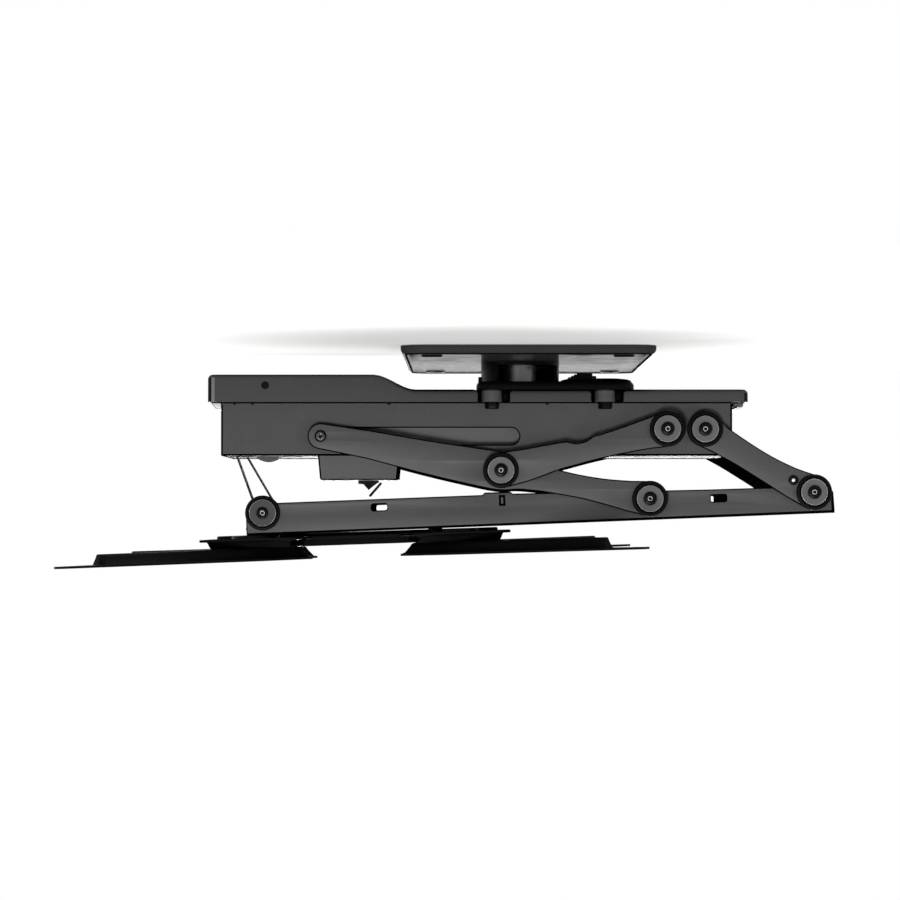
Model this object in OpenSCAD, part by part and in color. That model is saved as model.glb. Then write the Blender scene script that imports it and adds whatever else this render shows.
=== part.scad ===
// Motorized flip-down ceiling mount for a flat television, folded up as for storage.
// The origin is on the ceiling plane at the swivel axis. X runs along the mount, Y across it, Z up.
// The hinge end of the folding frame is at +X, and the belt that lifts the frame is at -X.

/* [Ceiling plate] */
// Length of the ceiling plate along X
plate_x = 248.5; // [240:0.5:300]
// Width of the ceiling plate along Y
plate_y = 420; // [300:5:440]
// How far the plate's centre lies from the swivel axis
plate_offset = 5.3; // [0:0.1:12]
// Thickness of the plate's sheet
plate_t = 3; // [2.5:0.5:4]
// Height of the plate's upturned rim, sheet included
plate_rim = 8; // [7:0.5:10]
// Plan radius of the plate's corners
plate_corner_r = 22; // [15:1:26]
// Distance between the slots for the ceiling screws along X
screw_dx = 188; // [170:2:200]
// Distance between the slots for the ceiling screws along Y
screw_dy = 330; // [220:2:340]
// Overall length of a ceiling screw slot
screw_slot_l = 16; // [14:1:20]
// Width of a ceiling screw slot
screw_slot_w = 8.5; // [7:0.5:10]

/* [Swivel] */
// Outer radius of the swivel post
post_r = 40; // [38:0.5:41]
// Wall of the swivel post
post_wall = 3.5; // [3:0.5:5]
// Height of the swivel post below the ceiling plate
post_h = 21.5; // [20:0.5:22]
// Height of the closed collar at the top of the post
collar_h = 2.5; // [2:0.5:6]
// Angle of the post's window from its left edge to the front
window_from = 38; // [30:1:45]
// Angle of the post's window from the front to its right edge
window_to = 70; // [60:1:80]
// Radius of the swivel spindle
spindle_r = 17; // [16:0.5:20]
// Outer radius of the spindle's bush
bush_r = 24; // [22:0.5:26]
// Radius of the circle of screws that hold the post
post_screw_circle_r = 30; // [28:0.5:31]
// Shank radius of a post screw
post_screw_r = 3; // [2:0.5:3]
// Running clearance of every pivot pin and spindle, on the radius
fit = 0.06; // [0.04:0.01:0.08]

/* [Turntable dish] */
// Length of the dish along X
dish_x = 158; // [150:2:164]
// Width of the dish along Y
dish_y = 196; // [192:1:197]
// How far the dish's centre lies from the swivel axis
dish_offset = 34; // [30:1:38]
// Height of the dish under the post
dish_h = 7; // [6:0.5:7.5]
// Height of the raised part of the dish beside the post
dish_pad_h = 12; // [11:0.5:15]

/* [Cover] */
// Depth of the cover's low top below the ceiling
cover_top = 38.5; // [37.5:0.5:42]
// Height of the cover's low part
cover_h = 12.5; // [12:0.5:15]
// How much higher the cover stands over the belt drive
hump_h = 15; // [12:0.5:17]
// Distance from the swivel axis to the cover's end over the belt drive
cover_left = 314; // [308:1:325]
// Distance from the swivel axis to the cover's other end
cover_right = 226.5; // [222:0.5:235]
// Half the width of the cover
cover_half = 99; // [99:0.5:104]
// Wall of the cover
cover_t = 2.5; // [2:0.5:3]
// Plan radius of the cover's corners
cover_corner_r = 9; // [6:1:14]

/* [Chassis] */
// Distance from the swivel axis to the chassis end over the belt drive
chassis_left = 301; // [296:1:304]
// Distance from the swivel axis to the chassis's other end
chassis_right = 211; // [206:1:215]
// Half the width of the chassis
chassis_half = 85; // [84:0.5:88]
// Height of the chassis
chassis_h = 52.8; // [50:0.2:56]
// Thickness of the chassis's sheet
sheet = 2; // [1.5:0.5:2.5]
// Height of the guide slots in the chassis's sides
guide_h = 17; // [15:0.5:18]
// Distance from the swivel axis to the near end of the guide slots
guide_right = 2; // [0:0.5:6]
// Spacing of the four hanger bolts along X
hanger_dx = 113.3; // [106:0.1:120]
// Radius of a hanger boss
hanger_r = 7.2; // [6.5:0.1:8]

/* [Linkage] */
// Distance from the swivel axis to the lift arm's pivot in the chassis
lift_x = 145.7; // [143:0.1:147]
// Distance from the swivel axis to the link arm's pivot in the chassis
link_x = 183.8; // [183:0.1:186]
// Depth of both chassis pivots below the ceiling
pivot_z = 78; // [77:0.1:79]
// Distance from the swivel axis to the long arm's sliding end, folded up
slide_x = 201.2; // [200:0.1:203]
// Depth of the guide slots' centreline below the ceiling
slide_z = 85; // [84:0.1:86]
// Long arm, from its sliding end to its middle pivot
long_arm_a = 183.83; // [183:0.01:185]
// Long arm, from its middle pivot to the frame
long_arm_b = 151.7; // [150:0.1:153]
// Lift arm, pivot to pivot
lift_arm = 171.35; // [170.5:0.05:172]
// Link arm, pivot to pivot
link_arm = 125.75; // [125:0.05:127]
// Distance between the frame's two pivots
frame_gap = 164.24; // [163:0.04:166]
// Distance from the long arm's pivot to the belt roller on the frame
roller_gap = 388; // [380:0.5:395]
// Radius of the arms' ends
hub_r = 18; // [17:0.5:19]
// Radius of the long arms' sliding ends
slide_end_r = 13; // [12:0.5:14]
// Thickness of the arms' plate
arm_t = 4; // [3:0.5:4]
// Radius of the pivot pins
pin_r = 8; // [7:0.5:9]
// Gap between neighbouring layers of side plates
layer_gap = 2; // [2:0.1:2.5]

/* [Pivot caps] */
// Radius of a pivot's black flange ring
ring_r = 17.7; // [16.5:0.1:18]
// Thickness of a flange ring
ring_t = 3; // [2:0.5:4]
// Radius of a pivot's grey washer
washer_r = 14.3; // [13:0.1:15]
// Thickness of a grey washer
washer_t = 1.5; // [1:0.5:2]
// Radius of a pivot screw's head
head_r = 6.6; // [6:0.1:7.5]
// Height of a pivot screw's head
head_h = 3; // [2:0.5:4]
// Radius of the screw's hexagon socket
socket_r = 3.2; // [2.5:0.1:3.5]

/* [Frame] */
// Thickness of the side rails' web
rail_t = 2.5; // [2:0.5:3]
// Depth of the rails below their pivots
rail_low = 20.3; // [19:0.1:22]
// Height of the rails above their pivots at the hinge end
rail_high_hinge = 6.9; // [6:0.1:8]
// Height of the rails above their pivots at the belt end
rail_high_belt = 10; // [9:0.1:11]
// Width of the rails' inward flanges
rail_flange = 16; // [12:1:20]
// How far the rails reach past the long arm's pivot at the hinge end
rail_end = 185; // [183:0.5:190]
// Radius of the belt roller's groove
roller_r = 9.5; // [8:0.5:10]
// Width of the lifting belt
belt_w = 24; // [18:1:28]
// Thickness of the lifting belt
belt_t = 1.2; // [1:0.1:1.6]

/* [Television plate] */
// Length of the television plate along the frame
tv_x = 312.5; // [300:0.5:320]
// Width of the television plate across the frame
tv_y = 196; // [180:2:210]
// Length of each of its two wide lobes
lobe_x = 106; // [100:1:112]
// Width of the waist between the lobes
waist_y = 96; // [80:2:110]
// Distance from the long arm's pivot to the plate's centre
tv_centre = 296.5; // [288:0.5:300]
// Thickness of the plate's and the brackets' sheet
stamp_t = 2; // [1.5:0.5:2.5]
// Depth of the plate's dished middle
tv_dish = 9.5; // [6:0.5:11]
// Gap between the rails and the plate
tv_gap = 6.5; // [6:0.5:8]
// Distance between the brackets' bolts along the frame
bolt_dx = 202; // [190:2:210]
// Distance between the brackets' bolts across the frame
bolt_dy = 124; // [116:2:130]
// Length of a bracket from its bolt to its tip hole
bracket_l = 216.5; // [200:0.5:240]
// Height of a bracket's pressed section
bracket_h = 15; // [12:0.5:16]
// Angle of a bracket to the frame
bracket_angle = 36; // [33:1:38]
// Radius of a bracket's tip hole
tip_hole_r = 4.25; // [3:0.25:4.5]

/* [Belt drive] */
// Distance from the swivel axis to the winding spool
spool_x = 259; // [257:0.5:261]
// Depth of the winding spool below the ceiling
spool_z = 91.3; // [90:0.1:92.5]
// Radius of the spool's flanges
spool_flange_r = 18; // [17:0.5:19]
// Radius of the spool's drum
spool_drum_r = 9; // [8:0.5:11]
// Distance from the swivel axis to the motor
motor_x = 236; // [234:0.5:238]
// Radius of the motor
motor_r = 17; // [15:0.5:17.5]
// Length of the motor's can
motor_l = 44; // [36:1:46]

/* [Control box] */
// Length of the control box at its top
box_x = 82; // [76:1:88]
// Width of the control box across the mount
box_y = 110; // [90:2:120]
// Height of the control box below the chassis
box_h = 24.6; // [22:0.2:27]
// Distance from the swivel axis to the control box's centre
box_centre = 163.8; // [160:0.2:168]
// Wall of the control box
box_t = 2; // [1.5:0.5:2.5]

/* [Hidden] */
$fn = 48;

over = 1;            // overrun of every cut
rest_gap = 0.2;      // gap between flat faces that slide on each other
soft_gap = 0.3;      // gap round a part that rolls in a slot
black = "#1d1d1e";
steel = "#3a3a3c";

// Levels, all measured down from the ceiling
sheet_z = -plate_rim;
post_z = sheet_z - post_h;
cover_z = -cover_top;
chassis_z = cover_z - cover_h;
floor_z = chassis_z - chassis_h;

// The linkage: each pivot follows from the arms' lengths
p1 = [-slide_x, -slide_z];
p4 = [lift_x, -pivot_z];
p5 = [link_x, -pivot_z];
p2 = meet(p1, long_arm_a, p4, lift_arm);
p3 = p1 + (p2 - p1) * (long_arm_a + long_arm_b) / long_arm_a;
p6 = meet(p3, frame_gap, p5, link_arm);
end_rise = 0.9;      // height of the end pivot over the rails' centreline
rail_angle = atan2(p6[1] - p3[1], p6[0] - p3[0]) - asin(end_rise / frame_gap);

// Layers of side plates, from the chassis's side outward
hanger_inset = 7.6;  // from the cover's side to a hanger bolt's centre
hanger_y = cover_half - hanger_inset;
rail_y = chassis_half - rail_t;
layer1 = chassis_half + layer_gap;
layer2 = layer1 + arm_t + layer_gap;
layer3 = layer2 + arm_t;

// Outlines of the arms: share of the arm's length, then its edge as a share of the hub's radius
long_top_shares = [[0.149, 0.83], [0.31, 0.88], [0.438, 0.97], [0.548, 1.04], [0.608, 0.90],
                   [0.65, 0.78], [0.691, 0.68], [0.739, 0.61], [0.802, 0.583], [0.87, 0.64],
                   [0.936, 0.78]];
long_low_shares = [[0.149, 0.76], [0.31, 0.98], [0.438, 1.09], [0.548, 1.12], [0.608, 0.88],
                   [0.65, 0.79], [0.691, 0.735], [0.739, 0.722], [0.802, 0.72], [0.87, 0.80],
                   [0.936, 0.92]];
lift_top_shares = [[0.132, 0.87], [0.276, 0.78], [0.398, 0.70], [0.432, 0.58],
                   [0.464, 0.45], [0.50, 0.42], [0.531, 0.456], [0.571, 0.60], [0.623, 0.617],
                   [0.772, 0.728], [0.923, 0.887]];
lift_low_shares = [[0.12, 0.98], [0.186, 0.93], [0.338, 0.77], [0.441, 0.74], [0.588, 0.72],
                   [0.734, 0.76], [0.877, 0.85]];
link_top_shares = [[0.12, 0.76], [0.20, 0.672], [0.389, 0.578], [0.572, 0.55], [0.745, 0.63],
                   [0.84, 0.73], [0.94, 0.88]];
arc_steps = 16;              // flats on the half circle at an arm's end
link_low_shares = [[0.16, 0.90], [0.187, 0.90], [0.347, 0.878], [0.565, 0.922], [0.817, 1.0]];

// Small features, each with the piece that carries it
spindle_top = 2;             // from the plate's sheet to the spindle
bush_h = collar_h;
post_screw_head_r = 5.5;
post_screw_head_h = 2.2;
post_screw_angle = 45;
lock_screw_r = 3.2;
lock_screw_l = 7;
lock_screw_drop = 4.5;
dish_corner_r = 18;
dish_round = 6;
pad_inset = 6;
inlet_x = 46;
inlet_l = 31;
inlet_w = 34;
inlet_h = 6;
inlet_slope = 14;
inlet_rib_w = 1.6;
inlet_rib_d = 1;
inlet_ribs = 5;
hump_end = 148.3;
hump_foot = 106;
notch_w = 31;
notch_off = 2;
cover_screw_r = 3.4;
cover_screw_x = 256.2;
cover_screw_drop = 11;
cover_screw_l = 12;
cover_screw_out = 0.6;
clip_w = 3;
clip_h = 1.4;
clip_x_shares = [-0.955, -0.895, -0.444, 0.088];
lip_x = 10;
lip_h = 6.6;
lip_foot = 4.5;
lip_y = 150;
hanger_x = -29.6;
hanger_hole_r = 4;
bolt_head_r = 7;
bolt_head_h = 7;
belt_hole_x = 74;
belt_hole_y = 44;
rod_collar_r = 12;
box_draft = 4.5;
board_t = 1.6;
board_margin = 3;
board_lift = 8;
part_h = 7;
switch_x = 153;
switch_l = 21;
switch_h = 3.6;
switch_w = 8;
switch_tip_x = 5.5;
switch_tip_h = 6.5;
lever_pivot_x = 140.2;
lever_pivot_drop = 1;
lever_l = 20;
lever_t = 1.6;
lever_w = 6;
lever_angle = 39;
gearbox_t = 16;
gearbox_margin = 5.2;
gearbox_y = 19;
motor_z_off = 17.3;
shaft_r = 5;
shaft_near = 20;
flange_t = 1.5;
turns_r = 16;
anchor_x = 14;
anchor_h = 12;
anchor_w = 40;
anchor_top = 20;
channel_end = 3;
channel_t = 1.5;
channel_half = 10.6;
channel_depth = 8;
carriage_l = 17;
carriage_t = 6;
pan_r = 6;
pan_h = 3;
pan_slot_w = 1.5;
pan_slot_l = 7.5;
pan_slot_d = 1.5;
link_hole_share = 0.81;
link_screw_r = 5;
link_screw_h = 2;
link_rivet_r = 2.6;
bump_from = 165;
bump_to = 137;
bump_h = 2.4;
long_slot = [15.5, 6];
long_slot_at = [-270.9, 0.6];
tall_slot = [4.3, 8.8];
tall_slot_at = [-147.7, 3.3];
end_slot = [16, 7.6];
end_slot_at = [68.7, -1.9];
belt_end_r = 17;
rail_nose = 4;
roller_half = 30;
cheek_t = 2;
cheek_r = 13;
roller_shaft_r = 5;
roller_head_r = 6;
roller_ring_r = 17;
roller_washer_r = 14.8;
cross_x = 58;
cross_dx = 160;
level_r = 4;
level_slot_w = 8.6;
level_slot_l = 22;
level_head_r = 7;
level_head_h = 3.5;
level_y = 34;
tv_lip = 9;
tv_ring_r = 24;
tv_ring_h = 3.5;
tv_corner_r = 16;
bolt_r = 4;
bolt_washer_r = 10;
bolt_washer_t = 1.6;
knob_r = 7;
knob_h = 4;
body_end_share = 0.86;
bracket_root = 60;
root_half = 46;
root_share = 0.3;
heel_share = 0.18;
toe_half = 15;
crown_lip = 9;
tip_round = 13;

function dist(a, b) = norm(b - a);
// The meeting point of two circles, on the right of the line from a to b
function meet(a, ra, b, rb) =
    let (d = dist(a, b), u = (b - a) / d, along = (ra * ra - rb * rb + d * d) / (2 * d),
         aside = sqrt(ra * ra - along * along))
    a + u * along + aside * [u[1], -u[0]];
function heading(a, b) = atan2(b[1] - a[1], b[0] - a[0]);
function reversed(list) = [for (i = [len(list) - 1:-1:0]) list[i]];

// Moves a child to the point p of the XZ plane
module at(p) translate([p[0], 0, p[1]]) children();
// Stands a drawing in the XZ plane and thickens it away from the middle, from y outward
module plate(y, t) translate([0, -y, 0]) rotate([90, 0, 0]) linear_extrude(t) children();
module disc(y, t, r) translate([0, -y, 0]) rotate([90, 0, 0]) cylinder(h = t, r = r);
module both_sides() { children(); mirror([0, 1, 0]) children(); }
// The frame's own axes: the long arm's pivot is the origin and X runs along the rails
module on_frame() at(p3) rotate([0, -rail_angle, 0]) children();
module rounded(x, y, r) {
    square([x, y - 2 * r], center = true);
    square([x - 2 * r, y], center = true);
    for (i = [-1, 1], j = [-1, 1]) translate([i * (x / 2 - r), j * (y / 2 - r)]) circle(r);
}
module pill(l, w) {
    square([l - w, w], center = true);
    for (i = [-1, 1]) translate([i * (l - w) / 2, 0]) circle(w / 2);
}

function arc(x, r, from) = [for (i = [0:arc_steps]) [x, 0] + r * [cos(from + i * 180 / arc_steps),
                                                                  sin(from + i * 180 / arc_steps)]];
// An arm's outline between two pivots: a round end, its lower edge in shares, the other end, its upper edge
module arm_outline(a, b, tops, lows, ra, rb) {
    reach = dist(a, b);
    translate(a) rotate(heading(a, b))
        polygon(concat(arc(0, ra, 90), [for (s = lows) [s[0] * reach, -s[1] * hub_r]],
                       arc(reach, rb, -90), [for (s = reversed(tops)) [s[0] * reach, s[1] * hub_r]]));
}

// The stack on a pivot: flange ring, grey washer and a screw head with a hexagon socket
module cap_stack(y, rr = ring_r, wr = washer_r, hr = head_r) {
    disc(y, ring_t, rr);
    disc(y + ring_t, washer_t, wr);
    difference() {
        disc(y + ring_t + washer_t, head_h, hr);
        translate([0, -y - ring_t - washer_t - head_h / 3, 0]) rotate([90, 0, 0])
            cylinder(h = head_h, r = socket_r, $fn = 6);
    }
}

module ceiling_plate() color(black) translate([plate_offset, 0, sheet_z]) difference() {
    linear_extrude(plate_rim) rounded(plate_x, plate_y, plate_corner_r);
    translate([0, 0, plate_t]) linear_extrude(plate_rim)
        rounded(plate_x - 2 * plate_t, plate_y - 2 * plate_t, plate_corner_r - plate_t);
    for (i = [-1, 1], j = [-1, 1]) translate([i * screw_dx / 2, j * screw_dy / 2, -over])
        linear_extrude(plate_t + 2 * over) pill(screw_slot_l, screw_slot_w);
}

module post_screw_places() for (i = [0:3])
    rotate(post_screw_angle + i * 90) translate([post_screw_circle_r, 0, 0]) children();

module swivel_post() color(black) translate([0, 0, post_z]) difference() {
    cylinder(h = post_h, r = post_r, $fn = 96);
    translate([0, 0, -over]) cylinder(h = post_h - collar_h + over, r = post_r - post_wall, $fn = 96);
    translate([0, 0, -over]) cylinder(h = post_h + 2 * over, r = bush_r);
    translate([0, 0, -over]) linear_extrude(post_h - collar_h + over) polygon([[0, 0],
        2 * post_r * [-sin(window_from), -cos(window_from)], [0, -2 * post_r],
        2 * post_r * [sin(window_to), -cos(window_to)]]);
    translate([-post_r - over, 0, lock_screw_drop]) rotate([0, 90, 0])
        cylinder(h = post_wall + 2 * over, r = lock_screw_r);
    post_screw_places() cylinder(h = post_h + over, r = post_screw_r);
}

module post_screws() color(steel) post_screw_places() {
    translate([0, 0, sheet_z - collar_h]) cylinder(h = collar_h, r = post_screw_r);
    translate([0, 0, sheet_z - collar_h - post_screw_head_h])
        cylinder(h = post_screw_head_h, r = post_screw_head_r);
}

module swivel_bush() color("#2b2b2c") translate([0, 0, sheet_z - bush_h]) difference() {
    cylinder(h = bush_h, r = bush_r);
    translate([0, 0, -over]) cylinder(h = bush_h + 2 * over, r = spindle_r + fit);
}

module swivel_lock_screw() color(steel)
    translate([-post_r - over * 3, 0, post_z + lock_screw_drop]) rotate([0, 90, 0])
        cylinder(h = lock_screw_l, r = lock_screw_r);

module swivel_spindle() color("#4a4a4c") translate([0, 0, cover_z + dish_h])
    cylinder(h = -spindle_top + sheet_z - cover_z - dish_h, r = spindle_r);

module turntable_dish() color(black) translate([dish_offset, 0, cover_z]) {
    hull() {
        linear_extrude(dish_h - dish_round) rounded(dish_x, dish_y, dish_corner_r, $fn = 32);
        linear_extrude(dish_h - dish_round / 3)
            rounded(dish_x - dish_round, dish_y - dish_round, dish_corner_r, $fn = 32);
        linear_extrude(dish_h)
            rounded(dish_x - 2 * dish_round, dish_y - 2 * dish_round, dish_corner_r - dish_round, $fn = 32);
    }
    difference() {
        hull() {
            linear_extrude(dish_h) rounded(dish_x - pad_inset, dish_y - pad_inset, dish_corner_r, $fn = 32);
            linear_extrude(dish_pad_h)
                rounded(dish_x - 4 * pad_inset, dish_y - 4 * pad_inset, dish_corner_r - pad_inset, $fn = 32);
        }
        translate([-dish_x, -dish_y, dish_h])
            cube([dish_x - dish_offset + post_r + layer_gap, 2 * dish_y, dish_pad_h]);
    }
}

module inlet_housing() color(black) translate([inlet_x, inlet_w / 2, cover_z + dish_pad_h]) difference() {
    rotate([90, 0, 0]) linear_extrude(inlet_w)
        polygon([[0, 0], [0, inlet_rib_d], [inlet_slope, inlet_h], [inlet_l - inlet_h, inlet_h],
                 [inlet_l - inlet_h, inlet_h / 3], [inlet_l, inlet_h / 3], [inlet_l, 0]]);
    for (i = [1:inlet_ribs]) translate([i * inlet_slope / (inlet_ribs + 1), -inlet_w - over,
                                       inlet_h * i / (inlet_ribs + 1)])
        cube([inlet_rib_w / 2, inlet_w + 2 * over, inlet_h]);
}

module hanger_places() for (i = [0, 1], j = [-1, 1])
    translate([hanger_x + i * hanger_dx, j * hanger_y, 0]) children();

// The cover's outline seen from the side, shrunk by g
module cover_side(g) polygon([
    [-cover_left + g, chassis_z - (g > 0 ? over : 0)], [-cover_left + g, cover_z + hump_h - g],
    [-hump_end, cover_z + hump_h - g], [-hump_foot - g / 2, cover_z - g],
    [cover_right - g, cover_z - g], [cover_right - g, chassis_z - (g > 0 ? over : 0)]]);
module cover_solid(g) intersection() {
    translate([0, cover_half - g, 0]) rotate([90, 0, 0]) linear_extrude(2 * (cover_half - g)) cover_side(g);
    translate([(cover_right - cover_left) / 2, 0, chassis_z - over])
        linear_extrude(cover_h + hump_h + 2 * over)
            rounded(cover_left + cover_right - 2 * g, 2 * (cover_half - g), cover_corner_r - g);
}
// The notches in the cover's sides for the hanger bosses, grown by g and past the cover by e
module notches(g, e) for (i = [0, 1]) both_sides()
    translate([hanger_x + notch_off + i * hanger_dx - notch_w / 2 - g, -cover_half - e, chassis_z - e])
        cube([notch_w + 2 * g, cover_half - hanger_y + hanger_r + layer_gap + g + e, cover_h + 2 * e]);
module top_cover() color("#222223") {
    difference() {
        union() {
            difference() {
                cover_solid(0);
                cover_solid(cover_t);
            }
            intersection() {
                cover_solid(0);
                notches(cover_t, 0);
            }
        }
        notches(0, over);
        both_sides() translate([-cover_screw_x, over - cover_half + cover_t, cover_z + hump_h - cover_screw_drop])
            rotate([90, 0, 0]) cylinder(h = cover_t + 2 * over, r = cover_screw_r);
    }
}

module end_lip() color("#c9c9c9") translate([-chassis_left, lip_y / 2, chassis_z]) rotate([90, 0, 0])
    linear_extrude(lip_y) polygon([[0, 0], [-lip_x, 0], [-lip_foot, -lip_h], [0, -lip_h]]);

module cover_screws() color(steel) {
    both_sides() translate([-cover_screw_x, -cover_half - cover_screw_out, cover_z + hump_h - cover_screw_drop])
        rotate([-90, 0, 0]) cylinder(h = cover_screw_l, r = cover_screw_r);
    both_sides() for (s = clip_x_shares) translate([s * chassis_left - clip_w / 2, -chassis_half - clip_w, chassis_z - clip_h])
            cube([clip_w, clip_w, clip_h]);
}

module hanger_bosses() color(black) hanger_places() translate([0, 0, chassis_z]) difference() {
    cylinder(h = cover_h, r = hanger_r);
    translate([0, 0, -over]) cylinder(h = cover_h + 2 * over, r = hanger_hole_r);
}
module hanger_bolts() color(steel) hanger_places() {
    translate([0, 0, chassis_z - bolt_head_h]) cylinder(h = bolt_head_h, r = bolt_head_r, $fn = 6);
    translate([0, 0, chassis_z]) cylinder(h = cover_h, r = hanger_hole_r);
}

module guide_slots() both_sides() plate(chassis_half - sheet - over, sheet + 2 * over)
    translate([-(slide_x + guide_h / 2 + soft_gap + guide_right) / 2, -slide_z])
        pill(slide_x + guide_h / 2 + soft_gap - guide_right, guide_h);

module chassis_box() color("#242425") difference() {
    translate([-chassis_left, -chassis_half, floor_z])
        cube([chassis_left + chassis_right, 2 * chassis_half, chassis_h]);
    translate([-chassis_left + sheet, -chassis_half + sheet, floor_z + sheet])
        cube([chassis_left + chassis_right - 2 * sheet, 2 * (chassis_half - sheet), chassis_h - 2 * sheet]);
    guide_slots();
    both_sides() for (p = [p4, p5]) at(p) disc(chassis_half - sheet - over, sheet + 2 * over, pin_r);
    translate([-chassis_left + sheet, -belt_hole_y / 2, floor_z - over])
        cube([belt_hole_x, belt_hole_y, sheet + 2 * over]);
    translate([-box_centre - box_x / 2 + box_draft, -box_y / 2 + box_draft, floor_z - over])
        cube([box_x - 2 * box_draft, box_y - 2 * box_draft, sheet + 2 * over]);
}

// Inside each guide slot a channel keeps the sliding block in line
module guide_channels() color("#242425") both_sides()
    translate([-slide_x - guide_h / 2 - channel_end, -chassis_half + sheet, -slide_z]) difference() {
        translate([0, 0, -channel_half])
            cube([slide_x + guide_h / 2 + 2 * channel_end - guide_right, channel_depth, 2 * channel_half]);
        translate([-over, -over, channel_t - channel_half])
            cube([slide_x + guide_h / 2 + 2 * channel_end, channel_depth - channel_t + over,
                  2 * (channel_half - channel_t)]);
    }

module chassis_pins() color(steel) both_sides() {
    at(p4) {
        disc(chassis_half - sheet, layer3 - chassis_half + sheet + rest_gap, pin_r);
        disc(chassis_half, layer2 - chassis_half - rest_gap, rod_collar_r);
    }
    at(p5) {
        disc(chassis_half - sheet, layer1 + arm_t - chassis_half + sheet + rest_gap, pin_r);
        disc(chassis_half, layer1 - chassis_half - rest_gap, rod_collar_r);
    }
}
module chassis_caps() color("#2f2f30") both_sides() {
    at(p4) cap_stack(layer3 + rest_gap);
    at(p5) cap_stack(layer1 + arm_t + rest_gap);
}

module box_outline(g) polygon([
    [-box_x / 2 + g, over * (g > 0 ? 1 : 0)], [box_x / 2 - g, over * (g > 0 ? 1 : 0)],
    [box_x / 2 - box_draft / 2 - g, -box_h + g], [-box_x / 2 + box_draft + g, -box_h + g]]);
module control_box() color("#232324") translate([-box_centre, 0, floor_z]) difference() {
    translate([0, box_y / 2, 0]) rotate([90, 0, 0]) linear_extrude(box_y) box_outline(0);
    translate([0, box_y / 2 - box_t, 0]) rotate([90, 0, 0]) linear_extrude(box_y - 2 * box_t) box_outline(box_t);
}
module circuit_board() color("#1f4a33") translate([-box_centre, 0, floor_z - box_h + box_t]) {
    translate([-box_x / 2 + 2 * box_draft, -box_y / 2 + box_t + board_margin, board_lift])
        cube([box_x - 4 * box_draft, box_y - 2 * box_t - 2 * board_margin, board_t]);
    for (i = [-1, 1]) translate([0, i * box_y / 4, 0]) cylinder(h = board_lift, r = part_h / 2);
    for (i = [-1, 0, 1]) translate([i * box_x / 5 - part_h / 2, -part_h, board_lift + board_t])
        cube([part_h, 2 * part_h, part_h]);
}

module limit_switch() color("#2a2a2b") translate([-switch_x, switch_w / 2, floor_z - box_h]) rotate([90, 0, 0])
    linear_extrude(switch_w)
        polygon([[-switch_l / 2, 0], [-switch_l / 2, -switch_h / 3], [-switch_l / 4, -switch_h],
                 [0, -switch_h - switch_tip_h], [switch_tip_x, -switch_h], [switch_l / 2, -switch_h / 2],
                 [switch_l / 2, 0]]);

// The lever is a bent strip on its pin beside the switch, pointing down toward the rails
module switch_lever() color(steel) translate([-lever_pivot_x, 0, floor_z - box_h - lever_pivot_drop])
    rotate([0, 180 + lever_angle, 0]) translate([-lever_t / 2, -lever_w / 2, 0])
        cube([lever_t, lever_w, lever_l]);

motor_p = [-motor_x, -spool_z + motor_z_off];
spool_p = [-spool_x, -spool_z];

module gearbox() color("#2b2b2c") translate([0, 2 * gearbox_y + gearbox_t, 0]) difference() {
    plate(gearbox_y, gearbox_t) {
        translate(motor_p) circle(motor_r);
        translate(spool_p) circle(shaft_r + gearbox_margin);
        translate(spool_p) rotate(heading(spool_p, motor_p)) translate([0, -shaft_r - gearbox_margin])
            square([dist(spool_p, motor_p), 2 * (shaft_r + gearbox_margin)]);
    }
    at(spool_p) disc(gearbox_y - over, gearbox_t + 2 * over, shaft_r + fit);
}
module gear_motor() color("#505053") at(motor_p)
    translate([0, gearbox_y + gearbox_t + motor_l, 0]) rotate([90, 0, 0]) cylinder(h = motor_l, r = motor_r);

module belt_anchor() color(steel) translate([-chassis_left + sheet, -anchor_w / 2, floor_z + anchor_top])
    cube([anchor_x, anchor_w, anchor_h]);

module spool_shaft() color(steel) at(spool_p) {
    disc(-gearbox_y - gearbox_t, gearbox_y + gearbox_t + shaft_near, shaft_r);
}
module winding_spool() color("#2f2f30") at(spool_p) difference() {
    union() {
        disc(-belt_w / 2 - flange_t, belt_w + 2 * flange_t, spool_drum_r);
        disc(belt_w / 2 + rest_gap, flange_t, spool_flange_r);
        mirror([0, 1, 0]) disc(belt_w / 2 + rest_gap, flange_t, spool_flange_r);
    }
    disc(-belt_w, 2 * belt_w, shaft_r);
}
module belt_turns() color("#101011") at(spool_p) difference() {
    disc(-belt_w / 2, belt_w, turns_r);
    disc(-belt_w, 2 * belt_w, spool_drum_r);
}

module guide_carriage() color(steel) at(p1) both_sides()
    translate([-carriage_l / 2, -chassis_half + sheet + rest_gap, -carriage_l / 2])
        cube([carriage_l, carriage_t, carriage_l]);
module guide_rollers() color("#d8d6cf") at(p1) both_sides()
    disc(chassis_half - sheet - rest_gap, sheet + rest_gap + layer_gap / 2, guide_h / 2 - soft_gap);

module lift_outline() arm_outline(p2, p4, lift_top_shares, lift_low_shares, hub_r, hub_r);
module lift_arm_solid() difference() {
    plate(layer2, arm_t) lift_outline();
    at(p2) disc(layer2 - over, arm_t + 2 * over, pin_r);
    at(p4) disc(layer2 - over, arm_t + 2 * over, pin_r + fit);
}
module lift_arm_near() color(black) lift_arm_solid();
module lift_arm_far() color(black) mirror([0, 1, 0]) lift_arm_solid();

module middle_rod() color(steel) at(p2) {
    disc(-layer3, 2 * layer3, pin_r);
    both_sides() disc(layer2 - layer_gap + rest_gap, layer_gap - rest_gap, rod_collar_r);
    disc(-layer1 + rest_gap, 2 * (layer1 - rest_gap), rod_collar_r);
}
module middle_caps() color("#2f2f30") at(p2) both_sides() cap_stack(layer3);

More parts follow.
